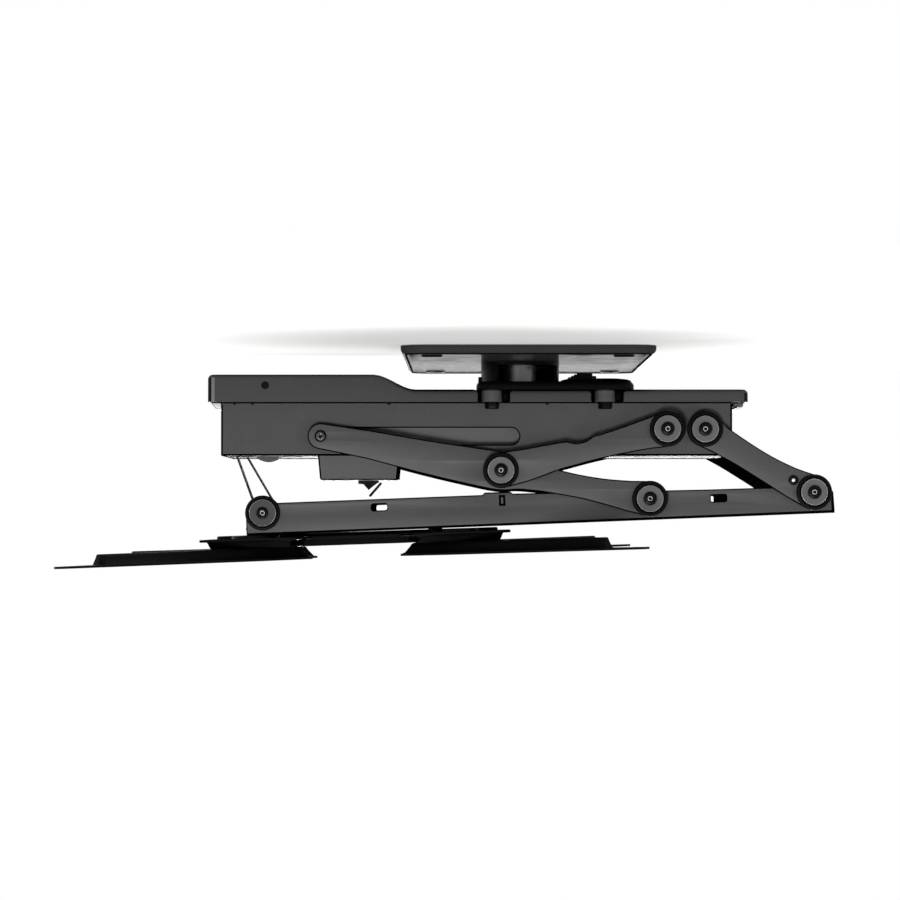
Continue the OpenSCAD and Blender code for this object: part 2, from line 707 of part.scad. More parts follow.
module long_arm_solid() difference() {
    plate(layer1, arm_t) arm_outline(p1, p3, long_top_shares, long_low_shares, slide_end_r, hub_r);
    at(p1) disc(layer1 - over, arm_t + 2 * over, pan_r / 2);
    at(p2) disc(layer1 - over, arm_t + 2 * over, pin_r + fit);
    at(p3) disc(layer1 - over, arm_t + 2 * over, pin_r + fit);
}
module long_arm_near() color(black) long_arm_solid();
module long_arm_far() color(black) mirror([0, 1, 0]) long_arm_solid();

module slide_screws() color("#3f3f41") at(p1) both_sides() {
    disc(layer1, arm_t, pan_r / 2);
    difference() {
        disc(layer1 + arm_t, pan_h, pan_r);
        for (a = [0, 90]) rotate([0, a, 0])
            translate([-pan_slot_l / 2, -layer1 - arm_t - pan_h - over, -pan_slot_w / 2])
                cube([pan_slot_l, pan_slot_d + over, pan_slot_w]);
    }
}

link_hole = p5 + (p6 - p5) * link_hole_share;
module link_arm_solid() difference() {
    plate(layer1, arm_t) arm_outline(p5, p6, link_top_shares, link_low_shares, hub_r, hub_r);
    at(p5) disc(layer1 - over, arm_t + 2 * over, pin_r + fit);
    at(p6) disc(layer1 - over, arm_t + 2 * over, pin_r);
    at(link_hole) disc(layer1 - over, arm_t + 2 * over, link_rivet_r);
}
module link_arm_near() color(black) link_arm_solid();
module link_arm_far() color(black) mirror([0, 1, 0]) link_arm_solid();
module link_caps() color("#2f2f30") both_sides() {
    at(p6) {
        disc(layer1, arm_t, pin_r);
        cap_stack(layer1 + arm_t);
    }
    at(link_hole) {
        disc(layer1, arm_t, link_rivet_r);
        disc(layer1 + arm_t, link_screw_h, link_screw_r);
    }
}

end_p = [dist(p3, p6) * cos(heading(p3, p6) - rail_angle), end_rise];
roller_p = [-roller_gap, 0];

module rail_outline() {
    polygon([[-roller_gap - belt_end_r, -rail_low], [rail_end - rail_nose, -rail_low],
             [rail_end, -rail_low + rail_nose / 2], [rail_end - rail_nose, rail_high_hinge - rail_nose],
             [rail_end - 2 * rail_nose, rail_high_hinge], [-bump_to, rail_high_hinge],
             [-bump_to - bump_h, rail_high_belt + bump_h], [-bump_from, rail_high_belt + bump_h],
             [-bump_from - bump_h, rail_high_belt], [-roller_gap, rail_high_belt],
             [-roller_gap - belt_end_r, 0]]);
    translate(roller_p) circle(belt_end_r);
}
module rail_solid() on_frame() difference() {
    union() {
        plate(rail_y, rail_t) rail_outline();
        translate([-roller_gap - belt_end_r, -rail_y, -rail_low])
            cube([roller_gap + belt_end_r + rail_end - 2 * rail_nose, rail_flange, rail_t]);
    }
    translate([long_slot_at[0], 0, long_slot_at[1]]) plate(rail_y - over, rail_t + 2 * over)
        pill(long_slot[0], long_slot[1]);
    translate([tall_slot_at[0], 0, tall_slot_at[1]]) plate(rail_y - over, rail_t + 2 * over)
        square(tall_slot, center = true);
    translate([end_slot_at[0], 0, end_slot_at[1]]) plate(rail_y - over, rail_t + 2 * over)
        pill(end_slot[0], end_slot[1]);
    for (p = [[0, 0], end_p]) at(p) disc(rail_y - over, rail_t + 2 * over, pin_r);
    at(roller_p) disc(rail_y - over, rail_t + 2 * over, roller_shaft_r);
}
module rail_near() color("#232324") rail_solid();
module rail_far() color("#232324") mirror([0, 1, 0]) rail_solid();

module frame_rod() color(steel) at(p3) {
    disc(-layer1 - arm_t - rest_gap, 2 * (layer1 + arm_t + rest_gap), pin_r);
    disc(-rail_y, 2 * rail_y, rod_collar_r);
    both_sides() disc(chassis_half, layer_gap - rest_gap, rod_collar_r);
}
module end_rod() color(steel) at(p6) {
    disc(-chassis_half, 2 * chassis_half, pin_r);
    disc(-rail_y, 2 * rail_y, rod_collar_r);
    both_sides() disc(chassis_half, layer_gap - soft_gap, rod_collar_r);
}
module frame_caps() color("#2f2f30") both_sides() {
    at(p3) cap_stack(layer1 + arm_t + rest_gap);
    on_frame() at(roller_p) cap_stack(chassis_half, roller_ring_r, roller_washer_r, roller_head_r);
}
module roller_shaft() color(steel) on_frame() at(roller_p) {
    disc(-chassis_half, 2 * chassis_half, roller_shaft_r);
    both_sides() disc(roller_half / 2 + rest_gap, rail_y - roller_half / 2 - rest_gap, rod_collar_r - cheek_t);
}
module belt_roller() color("#2b2b2c") on_frame() at(roller_p) difference() {
    union() {
        disc(-roller_half / 2, roller_half, roller_r);
        both_sides() disc(roller_half / 2 - cheek_t, cheek_t, cheek_r);
    }
    disc(-roller_half, 2 * roller_half, roller_shaft_r + fit);
}

// The belt: a half turn under the roller, and two legs up to the anchor in the chassis
belt_in = roller_r + soft_gap;
belt_out = belt_in + belt_t;
roller_at = p3 - roller_gap * [cos(rail_angle), sin(rail_angle)];
anchor_z = floor_z + anchor_top;
leg_top_shares = [0.07, 0.46];
leg_tops = [for (s = leg_top_shares) [-chassis_left + sheet + anchor_x * s, anchor_z]];
belt_lean = heading(roller_at, (leg_tops[0] + leg_tops[1]) / 2) - 90;
leg_feet = [for (i = [-1, 1]) roller_at + i * (belt_in + belt_t / 2) * [cos(belt_lean), sin(belt_lean)]];
module belt_loop() color("#101011") translate([0, -belt_w / 2, 0]) plate(-belt_w, belt_w)
    translate(roller_at) rotate(belt_lean) difference() {
        circle(belt_out);
        circle(belt_in);
        translate([-2 * belt_out, 0]) square(4 * belt_out);
    }
module belt_legs() color("#101011") translate([0, -belt_w / 2, 0]) plate(-belt_w, belt_w)
    for (i = [0, 1]) let (a = leg_feet[i], b = leg_tops[i], n = [b[1] - a[1], a[0] - b[0]] / dist(a, b))
        polygon([a - n * belt_t / 2, a + n * belt_t / 2, b + [belt_t / 2 / n[0], 0], b - [belt_t / 2 / n[0], 0]]);

plate_top = -rail_low - tv_gap;
crown_z = plate_top - tv_dish;
module cross_plates() color("#232324") on_frame() for (i = [-1, 1])
    translate([-tv_centre + i * cross_dx / 2 - cross_x / 2, -rail_y, -rail_low + rail_t]) difference() {
        cube([cross_x, 2 * rail_y, stamp_t]);
        for (j = [-1, 1]) translate([cross_x / 2, rail_y + j * level_y, -over])
            linear_extrude(stamp_t + 2 * over) rotate(atan2(2 * j * level_y, i * cross_dx) + 90)
                pill(level_slot_l, level_slot_w);
    }

// The plate hangs from four bolts that slide in the cross plates' slots
module level_bolts() color(steel) on_frame() for (i = [-1, 1], j = [-1, 1])
    translate([-tv_centre + i * cross_dx / 2, j * level_y, 0]) {
        translate([0, 0, plate_top]) cylinder(h = rail_t + stamp_t + tv_gap + rest_gap, r = level_r);
        translate([0, 0, -rail_low + rail_t + stamp_t + rest_gap]) cylinder(h = level_head_h, r = level_head_r, $fn = 6);
        translate([0, 0, plate_top]) cylinder(h = tv_gap + rail_t - rest_gap, r = level_head_r);
    }

module tv_outline(g) {
    for (i = [-1, 1]) translate([i * (tv_x - lobe_x) / 2, 0])
        rounded(lobe_x - 2 * g, tv_y - 2 * g, tv_corner_r);
    square([tv_x - lobe_x, waist_y - 2 * g], center = true);
}
module bracket_places() for (i = [-1, 1], j = [-1, 1])
    translate([i * bolt_dx / 2, j * bolt_dy / 2, 0]) children();
module tv_plate() color(black) on_frame() translate([-tv_centre, 0, plate_top]) difference() {
    union() {
        translate([0, 0, -stamp_t]) linear_extrude(stamp_t) tv_outline(0);
        translate([0, 0, -tv_dish]) linear_extrude(tv_dish) tv_outline(tv_lip);
        bracket_places() translate([0, 0, -stamp_t]) cylinder(h = stamp_t + tv_ring_h, r = tv_ring_r);
    }
    translate([0, 0, -tv_dish + stamp_t]) linear_extrude(tv_dish + tv_ring_h) difference() {
        tv_outline(tv_lip + stamp_t);
        for (i = [-1, 1], j = [-1, 1]) translate([i * cross_dx / 2, j * level_y]) circle(level_head_r + stamp_t);
        bracket_places() difference() {
            circle(tv_ring_r);
            circle(tv_ring_r - 2 * stamp_t);
        }
    }
    bracket_places() translate([0, 0, -tv_dish - over]) cylinder(h = tv_dish, r = bolt_r);
}

module bracket_bolts() color(steel) on_frame() translate([-tv_centre, 0, crown_z]) bracket_places() {
    translate([0, 0, -2 * rest_gap - stamp_t - knob_h])
        cylinder(h = 2 * (stamp_t + rest_gap) + knob_h + bolt_washer_t, r = bolt_r);
    translate([0, 0, stamp_t]) cylinder(h = bolt_washer_t, r = bolt_washer_r);
    translate([0, 0, -2 * rest_gap - stamp_t - knob_h]) cylinder(h = knob_h, r = knob_r, $fn = 6);
}

// A bracket's plan from its bolt outward: a broad root, a tapering body and a flat tip, shrunk by g
module bracket_plan(g, tip) {
    body_end = bracket_l * body_end_share;
    polygon([[-bracket_root + g, -root_half * root_share + g], [bracket_l * heel_share, -root_half + g],
             [body_end - g, -toe_half + g / 2], [body_end - g, toe_half - g / 2],
             [bracket_l * heel_share * 0.4, root_half * 0.86 - g], [-bracket_root + g, root_half * 0.5 - g]]);
    if (tip > 0) {
        translate([body_end - over, -tip_round]) square([bracket_l - body_end + over, 2 * tip_round]);
        translate([bracket_l, 0]) circle(tip_round);
    }
}
module bracket_place(i, j) on_frame()
    translate([-tv_centre + i * bolt_dx / 2, j * bolt_dy / 2, crown_z - rest_gap - bracket_h])
    mirror([i < 0 ? 1 : 0, 0, 0]) mirror([0, j < 0 ? 1 : 0, 0]) rotate(bracket_angle) children();
// The bracket's flange and walls, and its crown welded in between them
module bracket(i, j) bracket_place(i, j) difference() {
    union() {
        linear_extrude(stamp_t) bracket_plan(0, 1);
        linear_extrude(bracket_h) bracket_plan(crown_lip, 0);
    }
    translate([0, 0, -over]) linear_extrude(bracket_h + 2 * over) bracket_plan(crown_lip + stamp_t, 0);
    translate([bracket_l, 0, -over]) cylinder(h = stamp_t + 2 * over, r = tip_hole_r);
}
module crown(i, j) bracket_place(i, j) translate([0, 0, bracket_h - stamp_t]) difference() {
    linear_extrude(stamp_t) bracket_plan(crown_lip + stamp_t, 0);
    translate([0, 0, -over]) cylinder(h = stamp_t + 2 * over, r = bolt_r + fit);
}
module bracket_near_left() color(black) bracket(-1, -1);
module bracket_near_right() color(black) bracket(1, -1);
module bracket_far_left() color(black) bracket(-1, 1);
module bracket_far_right() color(black) bracket(1, 1);
module crown_near_left() color(black) crown(-1, -1);
module crown_near_right() color(black) crown(1, -1);
module crown_far_left() color(black) crown(-1, 1);
module crown_far_right() color(black) crown(1, 1);

ceiling_plate();
swivel_post();
post_screws();
swivel_bush();
swivel_lock_screw();
swivel_spindle();
turntable_dish();
inlet_housing();
chassis_box();
guide_channels();
top_cover();
end_lip();
cover_screws();
hanger_bosses();
hanger_bolts();
chassis_pins();
chassis_caps();
control_box();
circuit_board();
limit_switch();
switch_lever();
gearbox();
gear_motor();
belt_anchor();
spool_shaft();
winding_spool();
belt_turns();
guide_carriage();
guide_rollers();
lift_arm_near();
lift_arm_far();
middle_rod();
middle_caps();
long_arm_near();
long_arm_far();
slide_screws();
link_arm_near();
link_arm_far();
link_caps();
rail_near();
rail_far();
frame_rod();
end_rod();
frame_caps();
roller_shaft();
belt_roller();
belt_loop();
belt_legs();
cross_plates();
level_bolts();
tv_plate();
bracket_bolts();
bracket_near_left();
bracket_near_right();
bracket_far_left();
bracket_far_right();
crown_near_left();
crown_near_right();
crown_far_left();
crown_far_right();
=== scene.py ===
import math

import bmesh
import bpy
from bpy.props import FloatProperty, FloatVectorProperty, IntProperty, PointerProperty
from mathutils import Matrix, Vector


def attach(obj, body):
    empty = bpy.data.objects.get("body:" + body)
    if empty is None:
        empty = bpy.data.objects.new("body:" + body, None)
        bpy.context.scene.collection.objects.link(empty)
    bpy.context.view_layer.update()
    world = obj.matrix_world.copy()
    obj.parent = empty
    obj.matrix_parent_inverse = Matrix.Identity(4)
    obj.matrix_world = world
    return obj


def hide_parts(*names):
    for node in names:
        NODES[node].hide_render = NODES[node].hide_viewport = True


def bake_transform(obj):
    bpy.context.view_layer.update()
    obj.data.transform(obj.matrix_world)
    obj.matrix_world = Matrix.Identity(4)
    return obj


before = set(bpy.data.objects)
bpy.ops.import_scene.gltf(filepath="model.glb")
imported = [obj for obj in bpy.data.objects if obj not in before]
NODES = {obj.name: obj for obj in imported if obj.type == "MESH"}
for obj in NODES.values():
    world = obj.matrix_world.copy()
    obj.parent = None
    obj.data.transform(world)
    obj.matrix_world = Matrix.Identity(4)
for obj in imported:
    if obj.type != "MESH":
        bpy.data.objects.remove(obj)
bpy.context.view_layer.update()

bl_info = {
    "name": "Motorized ceiling mount",
    "version": (1, 0, 0),
    "blender": (4, 5, 0),
    "location": "3D View > Sidebar > Ceiling mount",
    "description": "Dresses the frame of a motorized ceiling mount with its real shapes and finishes",
    "category": "Object",
}

MM = 0.001

# The frame's own sizes in millimetres. X runs along the chassis, Z is up, the ceiling is at 0.
PLATE = dict(x=248.5, y=420, mid=5.3, sheet=3, rim=8, corner=22, slot_x=188, slot_y=330, slot=(16, 8.5))
DISH = dict(x=158, y=196, mid=34, low=-38.5, flat=-30.2, pad=-26.2, corner=18)
COVER = dict(left=-314, right=226.5, half=99, low=-51, top=-38.5, hump=-23.5, hump_end=-148.3,
             hump_foot=-106, wall=2.5, corner=9)
BOX = dict(left=-301, right=211, half=85, low=-103.8, top=-51)
HUB, SLIDE_END, ARM_T = 18, 13, 4
LAYER_1, LAYER_2, RAIL_Y, RAIL_OUT = 87, 93, 82.5, 85
PIN_HOLE, SCREW_HOLE = 8, 3
P1, P4, P5 = (-201.2, -85.0), (145.7, -78.0), (183.8, -78.0)
# Distances between the pivots: along the long arm, the lift arm, the link arm and the frame
LONG_UPPER, LONG_LOWER, LIFT, LINK, FRAME_SIDE, FRAME_RISE = 183.83, 151.7, 171.35, 125.75, 164.24, 0.9
GUIDE = dict(mid=-106, long=208, high=17)
TV = dict(x=312.5, y=196, lobe=106, waist=96, mid=-296.5, top=-26.8, crown=-36.3, sheet=2, bolt=(101, 62))
BRACKET = dict(length=216.5, high=12.8, angle=36, root=56, half=46, toe=15, tip=12.4, hole=4.25)
ROLLER = -388
ANCHOR_Z = -83.8
HANGER_X, RECESS_X = (-29.6, 83.7), (-27.6, 85.7)
CORNERS = [(i, j) for i in (-1, 1) for j in (-1, 1)]
AROUND = ((-1, -1), (1, -1), (1, 1), (-1, 1))

# A face counts as square to an axis when its normal's share along the axis is above this
SQUARE = 0.985


def meet(a, ra, b, rb):
    """The meeting point of two circles, on the right of the line from a to b."""
    a, b = Vector(a), Vector(b)
    d = (b - a).length
    u = (b - a) / d
    along = (ra * ra - rb * rb + d * d) / (2 * d)
    return a + u * along + Vector((u.y, -u.x)) * math.sqrt(ra * ra - along * along)


P2 = meet(P1, LONG_UPPER, P4, LIFT)
P3 = Vector(P1) + (P2 - Vector(P1)) * (LONG_UPPER + LONG_LOWER) / LONG_UPPER
P6 = meet(P3, FRAME_SIDE, P5, LINK)
TILT = math.atan2(P6.y - P3.y, P6.x - P3.x) - math.asin(FRAME_RISE / FRAME_SIDE)
TO_FRAME = Matrix.Translation((P3.x, 0, P3.y)) @ Matrix.Rotation(-TILT, 4, "Y")


# Colours and sizes

def colour(name, text, default):
    return FloatVectorProperty(name=name, description=text, default=srgb(default), subtype="COLOR",
                               size=3, min=0, max=1)


def length(name, text, default):
    return FloatProperty(name=name, description=text, default=default * MM, unit="LENGTH",
                         subtype="DISTANCE", min=0)


def srgb(code):
    """A hex colour as the linear values that Blender works in."""
    parts = [int(code[i:i + 2], 16) / 255 for i in (1, 3, 5)]
    return tuple(c / 12.92 if c <= 0.04045 else ((c + 0.055) / 1.055) ** 2.4 for c in parts)


class MountFinishes(bpy.types.PropertyGroup):
    powder: colour("Powder coat", "Chassis, arms and rails", "#3c3c3d")
    enamel: colour("Black enamel", "Pressed plates and brackets", "#070707")
    plastic: colour("Cover plastic", "Moulded top cover", "#333334")
    box: colour("Box plastic", "Control box under the chassis", "#505051")
    # This black is also the flat black of the painted shade on edges and shaded faces
    rubber: colour("Ring rubber", "Flanged rings on the pivots", "#030303")
    washer: colour("Washer", "Blackened zinc washers", "#454546")
    steel: colour("Dark steel", "Screws, bolts and rods", "#3a3a3c")
    webbing: colour("Belt webbing", "Woven lifting belt", "#101011")
    nylon: colour("Nylon", "Guide rollers and bushes", "#cfccc4")
    pale: colour("Pale plastic", "End lip", "#cdcdcb")
    board: colour("Board lacquer", "Circuit board", "#1d4a33")
    motor: colour("Motor can", "Zinc-plated motor", "#8a8b8d")


class MountSizes(bpy.types.PropertyGroup):
    edge: length("Edge round", "Rounding of the cut edges of the arms and rails", 1.2)
    press: length("Press round", "Radius of a pressed corner", 4.0)
    ring: length("Ring radius", "Flanged ring of a pivot", 17.9)
    washer: length("Washer radius", "Grey washer of a pivot", 13.2)
    head: length("Screw head", "Radius of a pivot screw's head", 6.6)
    belt: length("Belt width", "Width of the lifting belt", 24.0)
    belt_t: length("Belt thickness", "Thickness of the lifting belt", 1.2)
    rib: length("Weave pitch", "Distance between the belt's cross threads", 1.6)
    twist: IntProperty(name="Screw twist", description="Seed for the angles at which screws stopped",
                       default=7, min=0)


class MountStage(bpy.types.PropertyGroup):
    sky: FloatProperty(name="Sky", description="Level of the light from all round", default=0.13, min=0)
    lamp: FloatProperty(name="Lamps", description="Level of the soft boxes", default=1.0, min=0)
    lens: FloatProperty(name="Lens", description="Focal length", default=129.3, unit="CAMERA", min=10)


# Nodes and finishes

def add(tree, kind, fields=(), inputs=()):
    """Adds one node, sets its fields and sets or links its inputs."""
    made = tree.nodes.new(kind)
    for key, value in dict(fields).items():
        setattr(made, key, value)
    for key, value in dict(inputs).items():
        if isinstance(value, bpy.types.NodeSocket):
            tree.links.new(value, made.inputs[key])
        else:
            made.inputs[key].default_value = value
    return made


def maths(tree, operation, *values, **fields):
    """The result of a math node."""
    return add(tree, "ShaderNodeMath", {"operation": operation, **fields}, dict(enumerate(values))).outputs[0]


def remap(tree, value, low, high, new_low, new_high, **fields):
    """A value brought from one range into another."""
    return add(tree, "ShaderNodeMapRange", fields, {
        "Value": value, "From Min": low, "From Max": high, "To Min": new_low, "To Max": new_high}).outputs[0]


def cleared(owner):
    """The empty node tree of a material or world."""
    owner.use_nodes = True
    owner.node_tree.nodes.clear()
    return owner.node_tree


FINISHES = {}


def finish(name, base, rough, grain, depth, specular=0.5, metallic=0.0, worn=0.12, edge=0.6, wave=None,
           sheen=0.0):
    """A surface with its grain as bump, cloudy wear in its colour and gloss, and softly broken edges.
    grain is the size of one bump in millimetres and depth its height. wave is the pitch, turn and
    distortion of lines across it."""
    cloud_size, gloss_range = 28, 0.05
    mat = bpy.data.materials.new(name)
    tree = cleared(mat)
    place = add(tree, "ShaderNodeTexCoord").outputs["Object"]
    cloud = add(tree, "ShaderNodeTexNoise", {}, {
        "Vector": place, "Scale": 1 / (cloud_size * MM), "Detail": 4.0, "Roughness": 0.6}).outputs["Fac"]
    height = add(tree, "ShaderNodeTexNoise", {}, {
        "Vector": place, "Scale": 1 / (grain * MM), "Detail": 2.0, "Roughness": 0.55}).outputs["Fac"]
    if wave:
        pitch, turn, distortion = wave
        across = add(tree, "ShaderNodeMapping", {}, {"Vector": place, "Rotation": turn})
        # A wave texture of scale 0.3142 repeats once a metre
        lines = add(tree, "ShaderNodeTexWave", {"bands_direction": "X"}, {
            "Vector": across.outputs[0], "Scale": 0.3142 / (pitch * MM), "Distortion": distortion,
            "Detail": 1.0})
        height = maths(tree, "MULTIPLY_ADD", height, 0.35, lines.outputs["Fac"])
    dark = [c * (1 - worn) for c in base]
    light = [c * (1 + worn) for c in base]
    tone = add(tree, "ShaderNodeMix", {"data_type": "RGBA"}, {0: cloud, 6: (*dark, 1), 7: (*light, 1)})
    speck = remap(tree, height, 0.35, 0.75, 0.0, 0.25)
    mixed = add(tree, "ShaderNodeMix", {"data_type": "RGBA"},
                {0: speck, 6: tone.outputs[2], 7: (*[c * 1.5 + 0.0005 for c in base], 1)})
    gloss = remap(tree, cloud, 0.3, 0.7, rough - gloss_range, rough + gloss_range)
    soft = add(tree, "ShaderNodeBevel", {"samples": 4}, {"Radius": edge * MM})
    bump = add(tree, "ShaderNodeBump", {}, {"Strength": 0.6, "Distance": depth * MM, "Height": height,
                                            "Normal": soft.outputs[0]})
    skin = add(tree, "ShaderNodeBsdfPrincipled", {}, {
        "Base Color": mixed.outputs[2], "Roughness": gloss, "Metallic": metallic, "Normal": bump.outputs[0]})
    if not metallic:
        skin.inputs["Specular IOR Level"].default_value = specular
    if sheen:
        skin.inputs["Sheen Weight"].default_value = sheen
    add(tree, "ShaderNodeOutputMaterial", {}, {"Surface": skin.outputs[0]})
    FINISHES[name] = mat


def make_finishes():
    f = bpy.context.scene.mount_finishes
    # Polyester powder coat on sheet steel: satin, with a fine orange peel and paler rubbed edges
    finish("powder_coat", f.powder, 0.45, 1.6, 0.05, specular=0.16)
    # The same coat on the chassis, with less of a shine and made lighter: a painted sheen in place of its
    # shine
    finish("matt_powder", [c * 1.3 for c in f.powder], 0.45, 1.6, 0.05, specular=0.002)
    # The same coat made paler: painted light in the guide channels and painted highlights on the chassis'
    # bead and bend
    finish("pale_powder", [c * 1.5 for c in f.powder], 0.5, 1.6, 0.05, specular=0.16)
    # Flat black with no shine: painted shade on edges, in creases and on faces that lie in shade
    finish("thin_coat", f.rubber, 0.5, 1.0, 0.02, specular=0.0, edge=0.2)
    # The ceiling plate's coat is smoother: seen along its face it mirrors the pale room
    finish("gloss_coat", [c * 0.55 for c in f.powder], 0.14, 3.0, 0.001, specular=0.002, worn=0.08)
    # Stoved black enamel on pressings: deeper black, smoother, its curves catch narrow highlights
    finish("black_enamel", f.enamel, 0.42, 2.4, 0.02, specular=0.025)
    # The same enamel on turned parts, smoother still
    finish("satin_enamel", f.enamel, 0.32, 2.4, 0.02, specular=0.065)
    # Moulded ABS with a spark-eroded texture: matt, evenly grained
    finish("moulded_abs", f.plastic, 0.5, 1.1, 0.06, specular=0.14)
    # The same plastic made much paler: a painted highlight on the cover's left corners
    finish("rubbed_abs", [c * 3.2 for c in f.plastic], 0.4, 1.1, 0.02, specular=0.3)
    # The same plastic in a paler batch: control box, limit switch, snap ledge and spool
    finish("pale_abs", [c * 1.06 for c in f.box], 0.5, 1.1, 0.05, specular=0.03)
    # Nitrile rubber: almost no shine. The same black also paints shade on the cover, in the seam and in the
    # ceiling plate's slots
    finish("ring_rubber", f.rubber, 0.5, 0.9, 0.03, specular=0.04, edge=0.2)
    # Blackened zinc washers and the switch's lever: a flat dark grey, faintly grained
    finish("washer_zinc", f.washer, 0.45, 0.7, 0.03, specular=0.3, edge=0.2)
    # Blackened socket screws and the plate's embossed rings: nearly black, with a thin oily shine on top
    finish("black_screw", f.rubber, 0.3, 1.0, 0.02, specular=0.06, edge=0.2)
    # Machined steel of the spindle, the washers' chamfers and the screws' drives: satin, so that the
    # room shades softly round it
    finish("satin_steel", srgb("#a4a4a6"), 0.5, 0.8, 0.01, metallic=1.0)
    # Black-oxide steel of rods, shafts and pan heads: oily dark metal with bright worn facets
    finish("oxide_steel", f.steel, 0.34, 0.9, 0.03, metallic=1.0, worn=0.3)
    # Zinc-plated can of the motor: cool grey with drawing marks round it
    finish("plated_can", f.motor, 0.3, 0.8, 0.02, metallic=1.0, wave=(1.5, (0, 0, math.pi / 2), 1.0))
    # Woven polyester belt: rows of threads across its width, coarser than real so that they show
    finish("belt_weave", f.webbing, 0.75, 0.8, 0.25, specular=0.25, sheen=0.3,
           wave=(bpy.context.scene.mount_sizes.rib / MM, (0, math.pi / 2, 0), 0.3))
    # Natural nylon, turned: milky and waxy
    finish("turned_nylon", f.nylon, 0.4, 0.8, 0.03)
    # Pale polystyrene of the end lip: smooth and slightly glossy
    finish("pale_trim", f.pale, 0.35, 1.5, 0.03)
    # Solder lacquer on glass-epoxy board: glossy green
    finish("board_lacquer", f.board, 0.25, 1.2, 0.03)


# Meshes

def placed(name, data):
    """A new object in the scene."""
    obj = bpy.data.objects.new(name, data)
    bpy.context.scene.collection.objects.link(obj)
    return obj


def drop(*spares):
    """Takes helper objects and their meshes away."""
    for spare in spares:
        mesh = spare.data
        bpy.data.objects.remove(spare)
        bpy.data.meshes.remove(mesh)


# Edges that turn by more than this many degrees stay sharp
CRISP, PRESSED, MOULDED, TURNED = 32, 40, 50, 30

# The slots of the finishes, for pieces that name no other
SLOTS = {"powder_coat": "black_powder_coat", "pale_powder": "black_powder_coat",
         "thin_coat": "black_powder_coat", "gloss_coat": "black_powder_coat",
         "black_enamel": "black_powder_coat", "ring_rubber": "cap_rubber", "washer_zinc": "cap_rubber",
         "black_screw": "dark_steel", "oxide_steel": "dark_steel", "satin_steel": "dark_steel",
         "moulded_abs": "cover_plastic", "pale_abs": "cover_plastic", "pale_trim": "pale_plastic",
         "belt_weave": "belt_webbing"}


def new_piece(name, bm, material, body, stands_for=(), smooth=CRISP, matrix=None, slot=None):
    """Turns a bmesh in millimetres into a finished piece in metres that rides on its body."""
    if matrix is not None:
        bmesh.ops.transform(bm, matrix=matrix, verts=bm.verts)
    weld = 0.004
    bmesh.ops.remove_doubles(bm, verts=bm.verts, dist=weld)
    bmesh.ops.dissolve_degenerate(bm, edges=bm.edges, dist=weld)
    bmesh.ops.recalc_face_normals(bm, faces=bm.faces)
    bmesh.ops.scale(bm, vec=(MM, MM, MM), verts=bm.verts)
    mesh = bpy.data.meshes.new(name)
    bm.to_mesh(mesh)
    bm.free()
    return settle(name, mesh, material, body, stands_for, smooth, slot)


def settle(name, mesh, material, body, stands_for=(), smooth=CRISP, slot=None):
    """Gives a mesh its finish and its body, and hides the nodes that it replaces."""
    mesh.materials.clear()
    mesh.materials.append(FINISHES[material])
    obj = placed(name, mesh)
    mesh.shade_smooth()
    mesh.set_sharp_from_angle(angle=math.radians(smooth))
    if body:
        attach(obj, body)
    if stands_for:
        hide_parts(*stands_for)
    slot = slot or SLOTS[material]
    return obj


def refinish(obj, material, test):
    """Gives the faces that pass the test another finish."""
    obj.data.materials.append(FINISHES[material])
    for face in obj.data.polygons:
        if test(face):
            face.material_index = len(obj.data.materials) - 1


def on_cut_edge(face, least=0.15):
    """True for the cut edge of a shape that runs along Y."""
    return least <= abs(face.normal.y) < SQUARE


def arc(x, y, r, start, end, steps=12):
    turn = [start + (end - start) * i / steps for i in range(steps + 1)]
    return [(x + r * math.cos(math.radians(a)), y + r * math.sin(math.radians(a))) for a in turn]


def heading(a):
    return Vector((math.cos(a), math.sin(a)))


def circle(x, y, r, steps=32):
    return arc(x, y, r, 0, 360 - 360 / steps, steps - 1)


def pill(x, y, long, wide, steps=10):
    r, h = wide / 2, (long - wide) / 2
    return arc(x + h, y, r, -90, 90, steps) + arc(x - h, y, r, 90, 270, steps)


def rounded_corners(corners, steps=8):
    """A loop with arcs in place of its corners. Each corner is x, y and its radius."""
    loop = []
    count = len(corners)
    for i, (x, y, r) in enumerate(corners):
        here = Vector((x, y))
        back = (Vector(corners[i - 1][:2]) - here).normalized()
        on = (Vector(corners[(i + 1) % count][:2]) - here).normalized()
        half = back.angle(on) / 2
        reach = r / math.tan(half)
        middle = here + (back + on).normalized() * (r / math.sin(half))
        start, end = here + back * reach - middle, here + on * reach - middle
        sweep = start.angle_signed(end)
        for k in range(steps + 1):
            loop.append(middle + Matrix.Rotation(-sweep * k / steps, 2) @ start)
    return [(p.x, p.y) for p in loop]


def rounded_box(x, y, r, mid=(0, 0), steps=8):
    a, b = x / 2, y / 2
    return [(px + mid[0], py + mid[1]) for px, py in rounded_corners(
        [(-a, -b, r), (a, -b, r), (a, b, r), (-a, b, r)], steps)]


def boxes(x, y, r, mid, rows):
    """Rounded boxes one over the other. Each row is how far in its sides stand, and its level."""
    return [level(rounded_box(x - 2 * i, y - 2 * i, r - i, mid), z) for i, z in rows]


